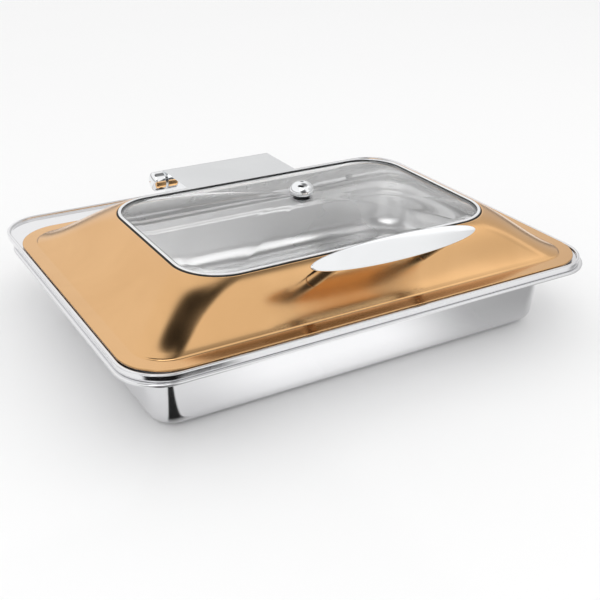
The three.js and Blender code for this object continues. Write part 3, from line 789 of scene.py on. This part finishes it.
@dataclass
class LidShell(Assembly):
    """The rose-gold pressing with its flat border, bead, flank and window ledge."""

    flank: Flank
    sheet: float = 1.2 * MM
    ledge: float = 10 * MM
    lip: float = 2 * MM
    clear: float = 0.3 * MM
    slant: float = 1.4
    border_bend: float = 1.0 * MM
    sill_bend: float = 0.7 * MM
    hem_bend: float = 0.5 * MM
    body = "lid"

    def build(self) -> None:
        """Makes the shell."""
        flank = self.flank
        lo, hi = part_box("lid_shell")
        edge, plane, slope = flank.edge, flank.plane, flank.sections(0)
        top_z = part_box("window_gasket")[0].z - self.clear
        inner = flank.top.inset(self.ledge)
        lip = flank.top.inset(self.lip)
        outer_foot = flank.bead.inset(-flank.bead_rise)
        border = softened([
            edge.at(lo.z), edge.at(plane), outer_foot.at(plane), *slope[:2],
        ], self.border_bend, False)[:-1]
        sill = softened([
            *slope[-2:], lip.at(hi.z), lip.at(top_z), inner.at(top_z),
            inner.at(top_z - self.sheet), flank.top.at(top_z - self.sheet),
        ], self.sill_bend, False)[1:]
        under = flank.sections(self.slant * self.sheet)[::-1]
        hem_inside = edge.inset(self.sheet)
        hem = softened([
            under[-1], outer_foot.at(plane - self.sheet), hem_inside.at(plane - self.sheet),
            hem_inside.at(lo.z),
        ], self.hem_bend, False)[1:]
        sections = border + slope[2:-1] + sill + under + hem
        piece = skin("lid_pressing", [s.points(24) for s in sections], True)
        self.mount(piece, ROSE_GOLD, "lid_shell")
        self.bare(piece)

    def bare(self, piece: bpy.types.Object) -> None:
        """Leaves the underside as steel, for the lid is coated on the outside only; that steel is
        painted darker than the plain satin steel, as painted shade under the lid.
        """
        piece.data.materials.append(UNDERSIDE_SHADED.material())
        for face in piece.data.polygons:
            if face.normal.z < 0:
                face.material_index = 1


@dataclass
class Window(Assembly):
    """The domed glass, its bright ring and its black seal."""

    flank: Flank
    corner: float = 53 * MM
    ring_flange: float = 3.6 * MM
    ring_sheet: float = 1.0 * MM
    gasket_squeeze: float = 0.8 * MM
    gasket_wall: float = 0.9 * MM
    gasket_base: float = 1.2 * MM
    gasket_reach: float = 11 * MM
    glass_thick: float = 4 * MM
    glass_inset: float = 1.3 * MM
    margin: float = 5 * MM
    hole: float = 6 * MM
    hole_corner: float = 5.85 * MM
    body = "lid"

    def build(self) -> None:
        """Makes the three pieces."""
        self.mount(self.gasket(), RUBBER, "window_gasket")
        self.mount(self.ring(), CHROME, "window_ring")
        self.mount(self.glass(), GLASS, "window_glass")

    def gasket(self) -> bpy.types.Object:
        """The seal round the window."""
        lo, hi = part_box("window_gasket")
        edge = outline_of("window_gasket", self.corner + self.flank.seal_reach)
        edge = edge.inset(self.gasket_squeeze)
        wall = edge.inset(self.gasket_wall)
        inner = self.flank.top.inset(self.gasket_reach)
        base = lo.z + self.gasket_base
        sections = [edge.at(lo.z), edge.at(hi.z), wall.at(hi.z), wall.at(base),
                    inner.at(base), inner.at(lo.z)]
        return pressed("window_seal", sections, True, 0.6 * MM)

    def ring(self) -> bpy.types.Object:
        """The trim ring."""
        lo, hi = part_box("window_ring")
        edge = outline_of("window_ring", self.corner)
        flange, wall = edge.inset(self.ring_flange), edge.inset(self.ring_sheet)
        under = hi.z - self.ring_sheet
        sections = [edge.at(lo.z), edge.at(hi.z), flange.at(hi.z), flange.at(under),
                    wall.at(under), wall.at(lo.z)]
        return pressed("window_trim_ring", sections, True, 0.5 * MM)

    def glass(self) -> bpy.types.Object:
        """The domed pane, with its hole for the vent.

        Returns:
            Its object.
        """
        lo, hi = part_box("window_glass")
        edge = outline_of("window_glass", self.corner - self.glass_inset)
        foot, top = lo.z, lo.z + self.glass_thick
        rise = hi.z - top
        start = edge.inset(self.margin)
        vent = Outline(self.hole, self.hole, self.hole_corner, edge.mid)
        steps = 28

        def dome(floor: float) -> list[Outline]:
            """Sections over the dome from its flat edge to the hole."""
            return [start.toward(vent, i / steps).at(floor + rise * (1 - (1 - i / steps) ** 2))
                    for i in range(steps + 1)]

        square = [start.at(foot), edge.at(foot), edge.at(top), start.at(top)]
        rim = softened(square, 0.8 * MM, False)
        sections = rim[1:-1] + dome(top) + dome(foot)[::-1]
        return skin("domed_pane", [s.points(24) for s in sections], True)


@dataclass
class Vent(Assembly):
    """The steam vent at the crown of the glass: cap, grommet and nut."""

    bore: float = 1.5 * MM
    stem: float = 3 * MM
    dome: float = 11.5 * MM
    skirt: float = 3 * MM
    edge: float = 1 * MM
    neck: float = 5.3 * MM
    flange: float = 1.4 * MM
    grommet_foot: float = 10 * MM
    nut_reach: float = 6 * MM
    clear: float = 0.3 * MM
    body = "lid"

    def build(self) -> None:
        """Makes the three pieces."""
        centre = Matrix.Translation((0, outline_of("vent_cap", 0).mid, 0))
        self.mount(self.cap(centre), CHROME, "vent_cap")
        self.mount(self.grommet(centre), RUBBER, "vent_grommet")
        lo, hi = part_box("vent_nut")
        nut = hex_nut("vent_nut_turned", centre @ Matrix.Translation((0, 0, lo.z)),
                      self.nut_reach, self.stem + self.clear, hi.z - lo.z)
        self.mount(nut, ZINC, "vent_nut")

    def cap(self, centre: Matrix) -> bpy.types.Object:
        """The domed cap with its stem and bore.

        Args:
            centre: the vent's axis.

        Returns:
            Its object.
        """
        lo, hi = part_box("vent_cap")
        radius = outline_of("vent_cap", 0).x
        foot = hi.z - self.skirt - self.dome
        lower = [Turn(self.bore, lo.z), Turn(self.stem, lo.z), Turn(self.stem, foot),
                 Turn(radius - self.edge, foot), Turn(radius, foot + self.edge)]
        dome = []
        for angle in quarter(24):
            reach = self.bore + (radius - self.bore) * math.cos(angle)
            dome.append(Turn(reach, foot + self.skirt + self.dome * math.sin(angle)))
        return turned("vent_dome", lower + dome, centre, True)

    def grommet(self, centre: Matrix) -> bpy.types.Object:
        """The rubber grommet between the cap and the glass."""
        lo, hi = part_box("vent_grommet")
        wide = outline_of("vent_grommet", 0).x
        bore, low, high = self.stem + self.clear, lo.z + self.flange, hi.z - self.flange
        profile = [Turn(bore, lo.z), Turn(self.grommet_foot, lo.z), Turn(self.grommet_foot, low),
                   Turn(self.neck, low), Turn(self.neck, high), Turn(wide, high),
                   Turn(wide, hi.z), Turn(bore, hi.z)]
        return turned("vent_seal", profile, centre, True, 0.4 * MM)


def hex_nut(name: str, place: Matrix, flat: float, bore: float, height: float) -> bpy.types.Object:
    """A hexagon nut whose corners are chamfered.

    Args:
        name: the piece's name.
        place: the middle of its foot, +Z along its axis.
        flat: half its size across the corners, as the CAD nut has it.
        bore: radius of its bore.
        height: its height.

    Returns:
        The new object.
    """
    side, bevel = flat * math.cos(math.pi / 6), 0.12 * height
    face, mouth, lead = 0.97 * side, bore + 0.2 * MM, 0.3 * MM
    profile = [
        Turn(mouth, 0), Turn(face, 0), Turn(side, bevel, Round.HEXAGON),
        Turn(side, height - bevel, Round.HEXAGON), Turn(face, height),
        Turn(mouth, height), Turn(bore, height - lead), Turn(bore, lead),
    ]
    return turned(name, profile, place, True, 0.0, 48)


def pan_screw(name: str, place: Matrix, radius: float, under: float,
              end: float) -> bpy.types.Object:
    """A pan-head screw with a hexagon socket, its head below z = under.

    Args:
        name: the piece's name.
        place: its axis, with the shank towards +Z.
        radius: radius of the shank.
        under: height of the face under the head.
        end: height of the shank's end.

    Returns:
        The new object.
    """
    head, high = 2 * radius, 1.3 * radius
    socket, depth, point = 0.7 * radius, 0.8 * radius, 0.4 * MM
    top = under - high
    profile = [
        Turn(socket * 0.4, top + depth, Round.HEXAGON), Turn(socket, top + depth, Round.HEXAGON),
        Turn(socket, top, Round.HEXAGON), Turn(head * 0.66, top),
        Turn(head * 0.86, under - high * 0.82), Turn(head * 0.97, under - high * 0.5),
        Turn(head, under - 0.1 * MM), Turn(head * 0.98, under), Turn(radius, under),
        Turn(radius, end - point), Turn(radius - point, end),
    ]
    return turned(name, profile, place, False, 0.0, 48)


@dataclass
class Handle(Assembly):
    """The blade on two posts, and the screws and washers that hold it from inside."""

    flank: Flank
    foot_share: float = 0.64
    spread: float = 144 * MM
    post: float = 7.5 * MM
    post_length: float = 57 * MM
    clear: float = 0.3 * MM
    blade_half: tuple[float, float] = (103 * MM, 13.5 * MM)
    blade_thick: float = 3.4 * MM
    screw: float = 2.4 * MM
    screw_end: float = 14 * MM
    screw_hole: tuple[float, float] = (2.7 * MM, 16 * MM)
    washer_thick: float = 1.2 * MM
    under: float = -2.9 * MM
    body = "lid"

    def build(self) -> None:
        """Makes every piece of the handle."""
        foot = self.flank.place(self.foot_share, -1)
        for side, word in SIDES:
            place = foot @ Matrix.Translation((side * self.spread / 2, 0, 0))
            # The posts wear chrome painted darker, which is painted reflection of dark
            # surroundings.
            self.mount(self.column(word, place), SHADED_CHROME, f"handle_post_{word}")
            self.mount(self.washer(word, place), ZINC, f"handle_washer_{word}")
            screw = pan_screw(f"post_screw_{word}", place, self.screw,
                              self.under - self.clear, self.screw_end)
            self.mount(screw, ZINC, f"handle_screw_{word}")
        self.mount(self.blade(foot), CHROME, "handle_blade")

    def column(self, word: str, place: Matrix) -> bpy.types.Object:
        """One post, with its screw hole."""
        low, high = self.clear, self.clear + self.post_length
        (bore, depth), soft = self.screw_hole, 0.8 * MM
        profile = [Turn(bore * 0.4, low + depth), Turn(bore, low + depth), Turn(bore, low),
                   Turn(self.post - soft, low), Turn(self.post, low + soft),
                   Turn(self.post, high - soft), Turn(self.post - soft, high), Turn(1 * MM, high)]
        return turned(f"post_{word}", profile, place, False, 0.4 * MM)

    def washer(self, word: str, place: Matrix) -> bpy.types.Object:
        """The washer inside the lid."""
        bore, top = self.screw + self.clear, self.under + self.washer_thick
        profile = [Turn(bore, self.under), Turn(self.post, self.under), Turn(self.post, top),
                   Turn(bore, top)]
        return turned(f"post_washer_{word}", profile, place, True, 0.25 * MM)

    def blade(self, foot: Matrix) -> bpy.types.Object:
        """The elliptical blade with its soft edge and faint crown.

        Args:
            foot: the middle of the handle's foot on the flank.

        Returns:
            Its object.
        """
        low = 2 * self.clear + self.post_length
        a, b = self.blade_half
        crown, edge = 0.45 * MM, 1.1 * MM
        levels: list[tuple[float, float]] = [(0.12 * b, low), (0.5 * b, low)]
        high = low + self.blade_thick - crown
        for angle in quarter(8):
            levels.append((b - edge + edge * math.sin(angle), low + edge - edge * math.cos(angle)))
        for angle in quarter(8):
            levels.append((b - edge + edge * math.cos(angle), high - edge + edge * math.sin(angle)))
        for share in (0.85, 0.7, 0.5, 0.3, 0.12):
            levels.append((share * b, high + crown * (1 - share * share)))
        rings: list[Ring] = []
        around = [2 * math.pi * j / 144 for j in range(144)]
        for reach, z in levels:
            length = a - (b - reach) if reach > b - edge - 1e-6 else a * reach / b
            rings.append([foot @ Vector((length * math.cos(t), reach * math.sin(t), z))
                          for t in around])
        return skin("blade", rings, False)


@dataclass
class Hinge(Assembly):
    """The base side of the hinge: bracket, shaft, bushes, dampers, clip, knob and screws."""

    shaft: float = 4 * MM
    clear: float = 0.3 * MM
    ear: float = 53 * MM
    ear_thick: float = 4 * MM
    knuckle: float = 28 * MM
    clip: float = 7 * MM
    head_under: float = 2.6 * MM
    collar: tuple[float, float] = (6 * MM, 4 * MM)
    bush_wall: float = 1.1 * MM
    bush_flange: tuple[float, float] = (8 * MM, 1.2 * MM)
    recess: float = 2 * MM
    pin_end: float = -92 * MM

    def __post_init__(self) -> None:
        """Finds the hinge's axis, and a frame whose +Z runs along +X."""
        joint = frame["joints"][0]
        self.centre = Vector(joint["pos_m"])
        self.axis = Matrix.Translation(self.centre) @ Matrix.Rotation(math.pi / 2, 4, "Y")

    def build(self) -> None:
        """Makes every piece on the base side."""
        self.carry(SATIN_STEEL, "hinge_bracket")
        lo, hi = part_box("hinge_shaft")
        rod = [Turn(1 * MM, lo.x), Turn(self.shaft, lo.x),
               Turn(self.shaft, hi.x), Turn(1 * MM, hi.x)]
        self.mount(turned("hinge_pin", rod, self.axis, False, 0.5 * MM), SATIN_STEEL, "hinge_shaft")
        self.mount(self.knob(), CHROME, "hinge_knob")
        bore = self.shaft + self.clear
        for side, word in SIDES:
            facing = self.axis if side > 0 else self.axis @ Matrix.Rotation(math.pi, 4, "X")
            self.mount(self.damper(word, facing), DAMPER, f"damper_{word}")
            self.mount(self.bush(word, facing), DAMPER, f"shaft_bush_{word}")
        lo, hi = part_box("shaft_circlip")
        clip = [Turn(bore, lo.x), Turn(self.clip, lo.x), Turn(self.clip, hi.x), Turn(bore, hi.x)]
        self.mount(turned("pin_clip", clip, self.axis, True, 0.2 * MM), ZINC, "shaft_circlip")
        for i in range(1, 5):
            self.fasten(i)

    def fasten(self, i: int) -> None:
        """One of the bracket's screws and its nut."""
        lo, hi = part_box(f"bracket_screw_{i}")
        spot = (lo + hi) / 2
        place = Matrix.Translation((spot.x, spot.y, hi.z)) @ Matrix.Rotation(math.pi, 4, "X")
        screw = pan_screw(f"bracket_bolt_{i}", place, SCREW_RADIUS, self.head_under, hi.z - lo.z)
        self.mount(screw, ZINC, f"bracket_screw_{i}")
        lo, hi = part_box(f"bracket_nut_{i}")
        spot = (lo + hi) / 2
        nut = hex_nut(f"bracket_hex_{i}", Matrix.Translation((spot.x, spot.y, lo.z)),
                      NUT_REACH, NUT_BORE, hi.z - lo.z)
        self.mount(nut, ZINC, f"bracket_nut_{i}")

    def damper(self, word: str, facing: Matrix) -> bpy.types.Object:
        """One damper cartridge, with its collar and its moulded grooves."""
        lo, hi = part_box(f"damper_{word}")
        radius, bore = (hi.z - lo.z) / 2, self.shaft + self.clear
        start, end = self.knuckle + 1 * MM, self.ear - self.clear
        neck, long = self.collar
        profile = [Turn(bore, start), Turn(neck, start), Turn(neck, start + long),
                   Turn(radius, start + long)]
        first, pitch, deep, wide, slant = 9 * MM, 4 * MM, 0.5 * MM, 1.2 * MM, 0.3 * MM
        for i in range(3):
            groove = start + first + i * pitch
            profile += [Turn(radius, groove), Turn(radius - deep, groove + slant),
                        Turn(radius - deep, groove + wide - slant), Turn(radius, groove + wide)]
        profile += [Turn(radius, end), Turn(bore, end)]
        return turned(f"damper_cartridge_{word}", profile, facing, True, 0.2 * MM)

    def bush(self, word: str, facing: Matrix) -> bpy.types.Object:
        """One flanged bush in its ear."""
        bore = self.shaft + self.clear
        outer, (wide, thick) = bore + self.bush_wall, self.bush_flange
        out = self.ear + self.ear_thick + self.clear
        profile = [Turn(bore, self.ear), Turn(outer, self.ear), Turn(outer, out), Turn(wide, out),
                   Turn(wide, out + thick), Turn(bore, out + thick)]
        return turned(f"pin_bush_{word}", profile, facing, True, 0.2 * MM)

    def knob(self) -> bpy.types.Object:
        """The domed end cap with the small recess in its end.

        Returns:
            Its object.
        """
        lo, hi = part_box("hinge_knob")
        radius, dome = (hi.z - lo.z) / 2, 6 * MM
        bore, edge, ease, hole = self.shaft + self.clear, 1 * MM, 0.3 * MM, self.recess
        profile = [Turn(1 * MM, self.pin_end), Turn(bore, self.pin_end), Turn(bore, hi.x),
                   Turn(radius - edge, hi.x), Turn(radius - ease, hi.x - ease),
                   Turn(radius, hi.x - edge)]
        for angle in quarter(24)[:21]:
            profile.append(Turn(radius * math.cos(angle), lo.x + dome - dome * math.sin(angle)))
        profile += [Turn(hole + 0.2 * MM, lo.x), Turn(hole, lo.x + 0.2 * MM),
                    Turn(hole, lo.x + self.recess), Turn(0.3 * hole, lo.x + self.recess)]
        return turned("hinge_end_cap", profile, self.axis, False)


@dataclass
class LidHinge(Assembly):
    """The lid side of the hinge: arm, cover and their screws."""

    flank: Flank
    hinge: Hinge
    cover_sheet: float = 1.2 * MM
    wrap: float = math.pi / 4
    fold: float = 0.5 * MM
    pin_hole: float = 6 * MM
    arm_screws: tuple[float, ...] = (-39 * MM, -13 * MM, 13 * MM, 39 * MM)
    arm_seat: float = 3.1 * MM
    cover_screw: float = 68 * MM
    cover_seat: float = 1.8 * MM
    nut_foot: float = -4.7 * MM
    nut_height: float = 3 * MM
    screw_end: float = 8 * MM
    body = "lid"

    def build(self) -> None:
        """Makes every piece on the lid side."""
        self.carry(SATIN_STEEL, "hinge_arm")
        self.mount(self.cover(), CHROME, "hinge_cover")
        foot = self.flank.place(0.5, 1)
        for i, x in enumerate(self.arm_screws, 1):
            self.fasten(foot, x, self.arm_seat, f"arm_screw_{i}", f"arm_nut_{i}")
        for side, word in SIDES:
            self.fasten(foot, side * self.cover_screw, self.cover_seat,
                        f"cover_screw_{word}", f"cover_nut_{word}")

    def fasten(self, foot: Matrix, x: float, seat: float, screw_node: str,
               nut_node: str) -> None:
        """One screw through the rear flank and the nut inside it.

        Args:
            foot: the middle of the arm's foot.
            x: where along it.
            seat: height of the face that the head sits on.
            screw_node: the CAD screw.
            nut_node: the CAD nut.
        """
        place = foot @ Matrix.Translation((x, 0, seat)) @ Matrix.Rotation(math.pi, 4, "X")
        screw = pan_screw(screw_node + "_turned", place, SCREW_RADIUS,
                          -self.hinge.clear, self.screw_end)
        self.mount(screw, ZINC, screw_node)
        nut = hex_nut(nut_node + "_turned", foot @ Matrix.Translation((x, 0, self.nut_foot)),
                      NUT_REACH, NUT_BORE, self.nut_height)
        self.mount(nut, ZINC, nut_node)

    def arc(self, radius: float, start: float, end: float, steps: int) -> list[tuple[float, float]]:
        """Points (y, z) of an arc about the hinge's axis."""
        c = self.hinge.centre
        angles = [start + (end - start) * i / steps for i in range(steps + 1)]
        return [(c.y + radius * math.cos(t), c.z + radius * math.sin(t)) for t in angles]

    def cheek(self) -> list[tuple[float, float]]:
        """The side outline of the cover, which follows the flank and the border.

        Returns:
            Its points (y, z).
        """
        flank, clear, lift, soft = self.flank, 0.6 * MM, 0.2 * MM, 2 * MM
        radius = self.radius()
        top = self.hinge.centre.z + radius
        slope: list[tuple[float, float]] = []
        for i in range(25):
            spot = flank.place(i / 24, 1)
            point = spot @ Vector((0, 0, clear))
            if point.z + lift < top - 1 * MM:
                slope.append((point.y, point.z + lift))
        rear, foot, bead = flank.edge.y - 3 * MM, flank.plane + clear, flank.bead.y + soft
        return [
            (slope[-1][0] - soft, top), *self.arc(radius, math.pi / 2, -math.pi / 2, 40),
            (rear, foot + soft), (rear - soft, foot), (bead + 1 * MM, foot),
            (bead, flank.foot_z + clear), *slope,
        ]

    def radius(self) -> float:
        """The cover's outer radius round the axis."""
        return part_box("hinge_cover")[1].z - self.hinge.centre.z

    def plate(self, name: str, points: Sequence[tuple[float, float]],
              half: float) -> bpy.types.Object:
        """A solid with a side outline, from x = -half to half."""
        shape = bmesh.new()
        near = [shape.verts.new((-half, y, z)) for y, z in points]
        far = [shape.verts.new((half, y, z)) for y, z in points]
        for j in range(len(points)):
            k = (j + 1) % len(points)
            shape.faces.new((near[j], near[k], far[k], far[j]))
        shape.faces.new(list(reversed(near)))
        shape.faces.new(far)
        return finished(name, shape)

    def cover(self) -> bpy.types.Object:
        """The folded hood with its two cheeks.

        Returns:
            Its object.
        """
        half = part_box("hinge_cover")[1].x
        hood = self.plate("hinge_hood", self.cheek(), half)
        c = self.hinge.centre
        inner = self.radius() - self.cover_sheet
        stop = math.pi / 2 - self.wrap
        spare = 10 * MM
        far, low = self.radius() + spare, self.flank.plane - spare
        front = self.flank.place(0.5, 1).translation.y - 4 * spare
        hollow = [
            (front, c.z + inner), *self.arc(inner, math.pi / 2, stop, 16),
            (c.y + far * math.cos(stop), c.z + far * math.sin(stop)),
            (c.y + far, low), (front, low),
        ]
        core = self.plate("hood_core", hollow, half - self.cover_sheet)
        self.cut(hood, core)
        hole = [Turn(self.pin_hole, -half - spare / 2), Turn(self.pin_hole, -half + spare / 2)]
        self.cut(hood, turned("hood_hole", hole, self.hinge.axis))
        soft = hood.modifiers.new("folds", "BEVEL")
        soft.width = self.fold
        soft.segments = 3
        soft.limit_method = "ANGLE"
        soft.angle_limit = math.radians(40)
        flats = hood.modifiers.new("flats_last", "WEIGHTED_NORMAL")
        flats.mode = "FACE_AREA"
        return hood

    def cut(self, piece: bpy.types.Object, tool: bpy.types.Object) -> None:
        """Cuts a tool out of a piece and removes the tool."""
        piece.modifiers.clear()
        cutter = piece.modifiers.new("cut", "BOOLEAN")
        cutter.operation, cutter.object, cutter.solver = "DIFFERENCE", tool, "EXACT"
        tool.modifiers.clear()
        bpy.context.view_layer.update()
        evaluated = piece.evaluated_get(bpy.context.evaluated_depsgraph_get())
        mesh = bpy.data.meshes.new_from_object(evaluated)
        piece.modifiers.clear()
        piece.data = mesh
        bpy.data.objects.remove(tool)


@dataclass
class Bumpers(Assembly):
    """The four silicone pads between the lid's border and the frame."""

    middle: float = 0.5 * MM
    soft: float = 0.7 * MM
    body = "lid"

    def build(self) -> None:
        """Makes the pads."""
        for i in range(1, 5):
            lo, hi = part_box(f"lid_bumper_{i}")
            spot, radius = (lo + hi) / 2, (hi.x - lo.x) / 2
            profile = [Turn(self.middle, lo.z), Turn(radius, lo.z),
                       Turn(radius, hi.z), Turn(self.middle, hi.z)]
            place = Matrix.Translation((spot.x, spot.y, 0))
            pad = turned(f"lid_pad_{i}", profile, place, False, self.soft)
            self.mount(pad, RUBBER, f"lid_bumper_{i}")


# ---- studio ---------------------------------------------------------------
@dataclass(frozen=True)
class Shade:
    """A darker patch of the surroundings: its direction, its angles in degrees and its depth."""

    direction: tuple[float, float, float]
    inner: float
    outer: float
    depth: float


@dataclass(frozen=True)
class Card:
    """A dark or glowing card over the floor, which only polished surfaces see."""

    name: str
    at: tuple[float, float, float]
    size: tuple[float, float]
    facing: tuple[float, float, float]
    level: float
    softness: float = 0.35

    def build(self) -> None:
        """Makes the card with its faded edges."""
        shape = bmesh.new()
        bmesh.ops.create_grid(shape, x_segments=2, y_segments=2, size=0.5)
        card = finished(self.name, shape)
        card.scale = (*self.size, 1)
        card.rotation_euler = self.facing
        card.location = self.at
        card.data.materials.append(self.paint())
        card.visible_camera = card.visible_diffuse = card.visible_shadow = False
        card.visible_transmission = False

    def paint(self) -> bpy.types.Material:
        """The card's paint, which fades out to its edges.

        Returns:
            The material.
        """
        material = bpy.data.materials.new(self.name)
        material.use_nodes = True
        tree = material.node_tree
        shader = tree.nodes["Principled BSDF"]
        shader.inputs["Base Color"].default_value = (0, 0, 0, 1)
        shader.inputs["Roughness"].default_value = 1
        shader.inputs["Specular IOR Level"].default_value = 0
        shader.inputs["Emission Color"].default_value = (self.level, self.level, self.level, 1)
        shader.inputs["Emission Strength"].default_value = 1
        place = tree.nodes.new("ShaderNodeTexCoord").outputs["Object"]
        parts = tree.nodes.new("ShaderNodeSeparateXYZ")
        tree.links.new(place, parts.inputs[0])
        edge = 0.5
        start = edge * (1 - self.softness)
        across, along = (
            fade(tree, combine(tree, "ABSOLUTE", parts.outputs[side]), edge, start)
            for side in ("X", "Y")
        )
        tree.links.new(combine(tree, "MULTIPLY", across, along), shader.inputs["Alpha"])
        return material


@dataclass(frozen=True)
class Softbox:
    """A large soft square light that faces the object: its side, and its power in watts."""

    name: str
    at: tuple[float, float, float]
    size: float
    power: float

    def build(self) -> None:
        """Hangs the light."""
        data = bpy.data.lights.new(self.name, "AREA")
        data.shape, data.size, data.energy = "SQUARE", self.size, self.power
        light = bpy.data.objects.new(self.name, data)
        light.location = self.at
        light.rotation_euler = (-Vector(self.at)).to_track_quat("-Z", "Y").to_euler()
        bpy.context.scene.collection.objects.link(light)


@dataclass
class Studio:
    """The pale floor, the soft light and the camera."""

    lens: float = 57.88
    camera_at: tuple[float, float, float] = (-0.55527, -0.91741, 0.56190)
    azimuth: float = math.radians(-31.41)
    elevation: float = math.radians(26.74)
    roll: float = math.radians(1.14)
    shades: tuple[Shade, ...] = (
        Shade((-0.20, 0.15, 0.97), 8, 17, 0.99),
        Shade((-0.03, -0.14, 0.99), 8, 19, 0.97),
        Shade((0.08, 0.10, 0.99), 4, 15, 0.5),
        Shade((0.30, -0.02, 0.95), 6, 18, 0.4),
        Shade((0.46, 0.10, 0.88), 11, 24, 0.58),
        Shade((0.41, 0.38, 0.83), 7, 17, 0.6),
        Shade((0.46, 0.86, 0.26), 4, 12, 0.22),
        Shade((0.82, -0.36, 0.44), 8, 20, 0.5),
        Shade((0.92, 0.30, 0.26), 12, 34, 0.28),
        Shade((-0.22, -0.92, 0.32), 14, 34, 0.85),
    )
    horizon: float = 0.65
    horizon_belt: tuple[float, float] = (0.04, 0.2)
    window_light: float = 1.25
    cards: tuple[Card, ...] = (
        Card("front_left_card", (-0.33, -0.385, 0.002), (0.46, 0.30), (0, 0, 0), 0.01, 0.2),
        Card("corner_card", (-0.275, -0.215, 0.0025), (0.16, 0.032), (0, 0, math.radians(52)),
             0.02, 0.3),
        Card("right_card", (0.37, -0.235, 0.0015), (0.84, 0.24), (0, 0, 0), 0.42, 0.8),
        Card("front_glow", (-0.02, -0.24, 0.002), (0.42, 0.2), (0, 0, 0), 1.15, 0.7),
        Card("left_card", (-0.62, 0.1, 0.001), (0.4, 0.6), (0, 0, 0), 0.45, 0.9),
    )
    lights: tuple[Softbox, ...] = (
        Softbox("key", (-0.9, -1.4, 2.4), 1.6, 9),
        Softbox("fill", (1.8, -0.6, 1.6), 1.4, 1.5),
    )

    def build(self) -> None:
        """Sets up everything round the object."""
        scene = bpy.context.scene
        scene.view_settings.view_transform = "Standard"
        scene.cycles.max_bounces = 16
        scene.cycles.glossy_bounces = 12
        scene.cycles.transmission_bounces = 14
        self.camera()
        self.floor()
        self.surroundings()
        for prop in (*self.cards, *self.lights):
            prop.build()

    def camera(self) -> None:
        """The camera, level but for a small roll."""
        a, e, turn = self.azimuth, self.elevation, self.roll
        back = Vector((math.sin(a) * math.cos(e), -math.cos(a) * math.cos(e), math.sin(e)))
        right = Vector((math.cos(a), math.sin(a), 0))
        up = back.cross(right)
        across = math.cos(turn) * right + math.sin(turn) * up
        above = math.cos(turn) * up - math.sin(turn) * right
        data = bpy.data.cameras.new("camera")
        data.lens, data.sensor_width = self.lens, 36
        camera = bpy.data.objects.new("camera", data)
        turned_to = Matrix((across, above, back)).transposed().to_4x4()
        camera.matrix_world = Matrix.Translation(self.camera_at) @ turned_to
        bpy.context.scene.collection.objects.link(camera)
        bpy.context.scene.camera = camera

    def floor(self) -> None:
        """The plain pale floor."""
        shape = bmesh.new()
        bmesh.ops.create_grid(shape, x_segments=24, y_segments=24, size=8)
        floor = finished("studio_floor", shape)
        paint = Finish("pale_floor", "", (0.93, 0.93, 0.93), (0.92, 0.92, 0.92), (0.85, 0.9),
                       Working.MOULDED, 0.0, metallic=0.0, smear_scale=0.5)
        floor.data.materials.append(paint.material())

    def surroundings(self) -> None:
        """The bright studio round the object, with its few darker patches."""
        world = bpy.data.worlds.new("studio")
        world.use_nodes = True
        bpy.context.scene.world = world
        tree = world.node_tree
        ground = tree.nodes["Background"]
        way = tree.nodes.new("ShaderNodeTexCoord").outputs["Generated"]
        level = self.belt(tree, way)
        for shade in self.shades:
            level = combine(tree, "MULTIPLY", level, self.patch(tree, way, shade))
        path = tree.nodes.new("ShaderNodeLightPath").outputs
        even = combine(tree, "MAXIMUM", path["Is Diffuse Ray"], path["Is Camera Ray"])
        through = combine(tree, "MINIMUM", path["Transmission Depth"], self.window_light)
        for least in (even, through):
            level = combine(tree, "MAXIMUM", level, least)
        tree.links.new(level, ground.inputs["Color"])
        ground.inputs["Strength"].default_value = 1.0

    def belt(self, tree: bpy.types.NodeTree, way: bpy.types.NodeSocket) -> bpy.types.NodeSocket:
        """How bright the surroundings are by height, darker where floor and backdrop meet.

        Args:
            tree: the world's nodes.
            way: the direction looked in.

        Returns:
            A socket that is 1 well above the horizon.
        """
        parts = tree.nodes.new("ShaderNodeSeparateXYZ")
        tree.links.new(way, parts.inputs[0])
        height = combine(tree, "ABSOLUTE", parts.outputs["Z"])
        return fade(tree, height, *self.horizon_belt, 1.0 - self.horizon)

    def patch(self, tree: bpy.types.NodeTree, way: bpy.types.NodeSocket,
              shade: Shade) -> bpy.types.NodeSocket:
        """How bright the surroundings are round one darker patch.

        Args:
            tree: the world's nodes.
            way: the direction looked in.
            shade: the patch.

        Returns:
            A socket that is 1 away from the patch.
        """
        dot = tree.nodes.new("ShaderNodeVectorMath")
        dot.operation = "DOT_PRODUCT"
        dot.inputs[1].default_value = Vector(shade.direction).normalized()
        tree.links.new(way, dot.inputs[0])
        outer, inner = (math.cos(math.radians(angle)) for angle in (shade.outer, shade.inner))
        return fade(tree, dot.outputs["Value"], outer, inner, 1.0, 1.0 - shade.depth)


def main() -> None:
    """Builds every sub-assembly in order, then the studio."""
    logging.basicConfig(level=logging.INFO, format="%(message)s")
    flank = Flank()
    hinge = Hinge()
    assemblies: list[Assembly] = [
        WaterPan(), TopFrame(), FoodPan(), LidShell(flank), Window(flank), Vent(),
        Handle(flank), hinge, LidHinge(flank, hinge), Bumpers(),
    ]
    for assembly in assemblies:
        assembly.build()
    Studio().build()


if __name__ == "__main__":
    main()
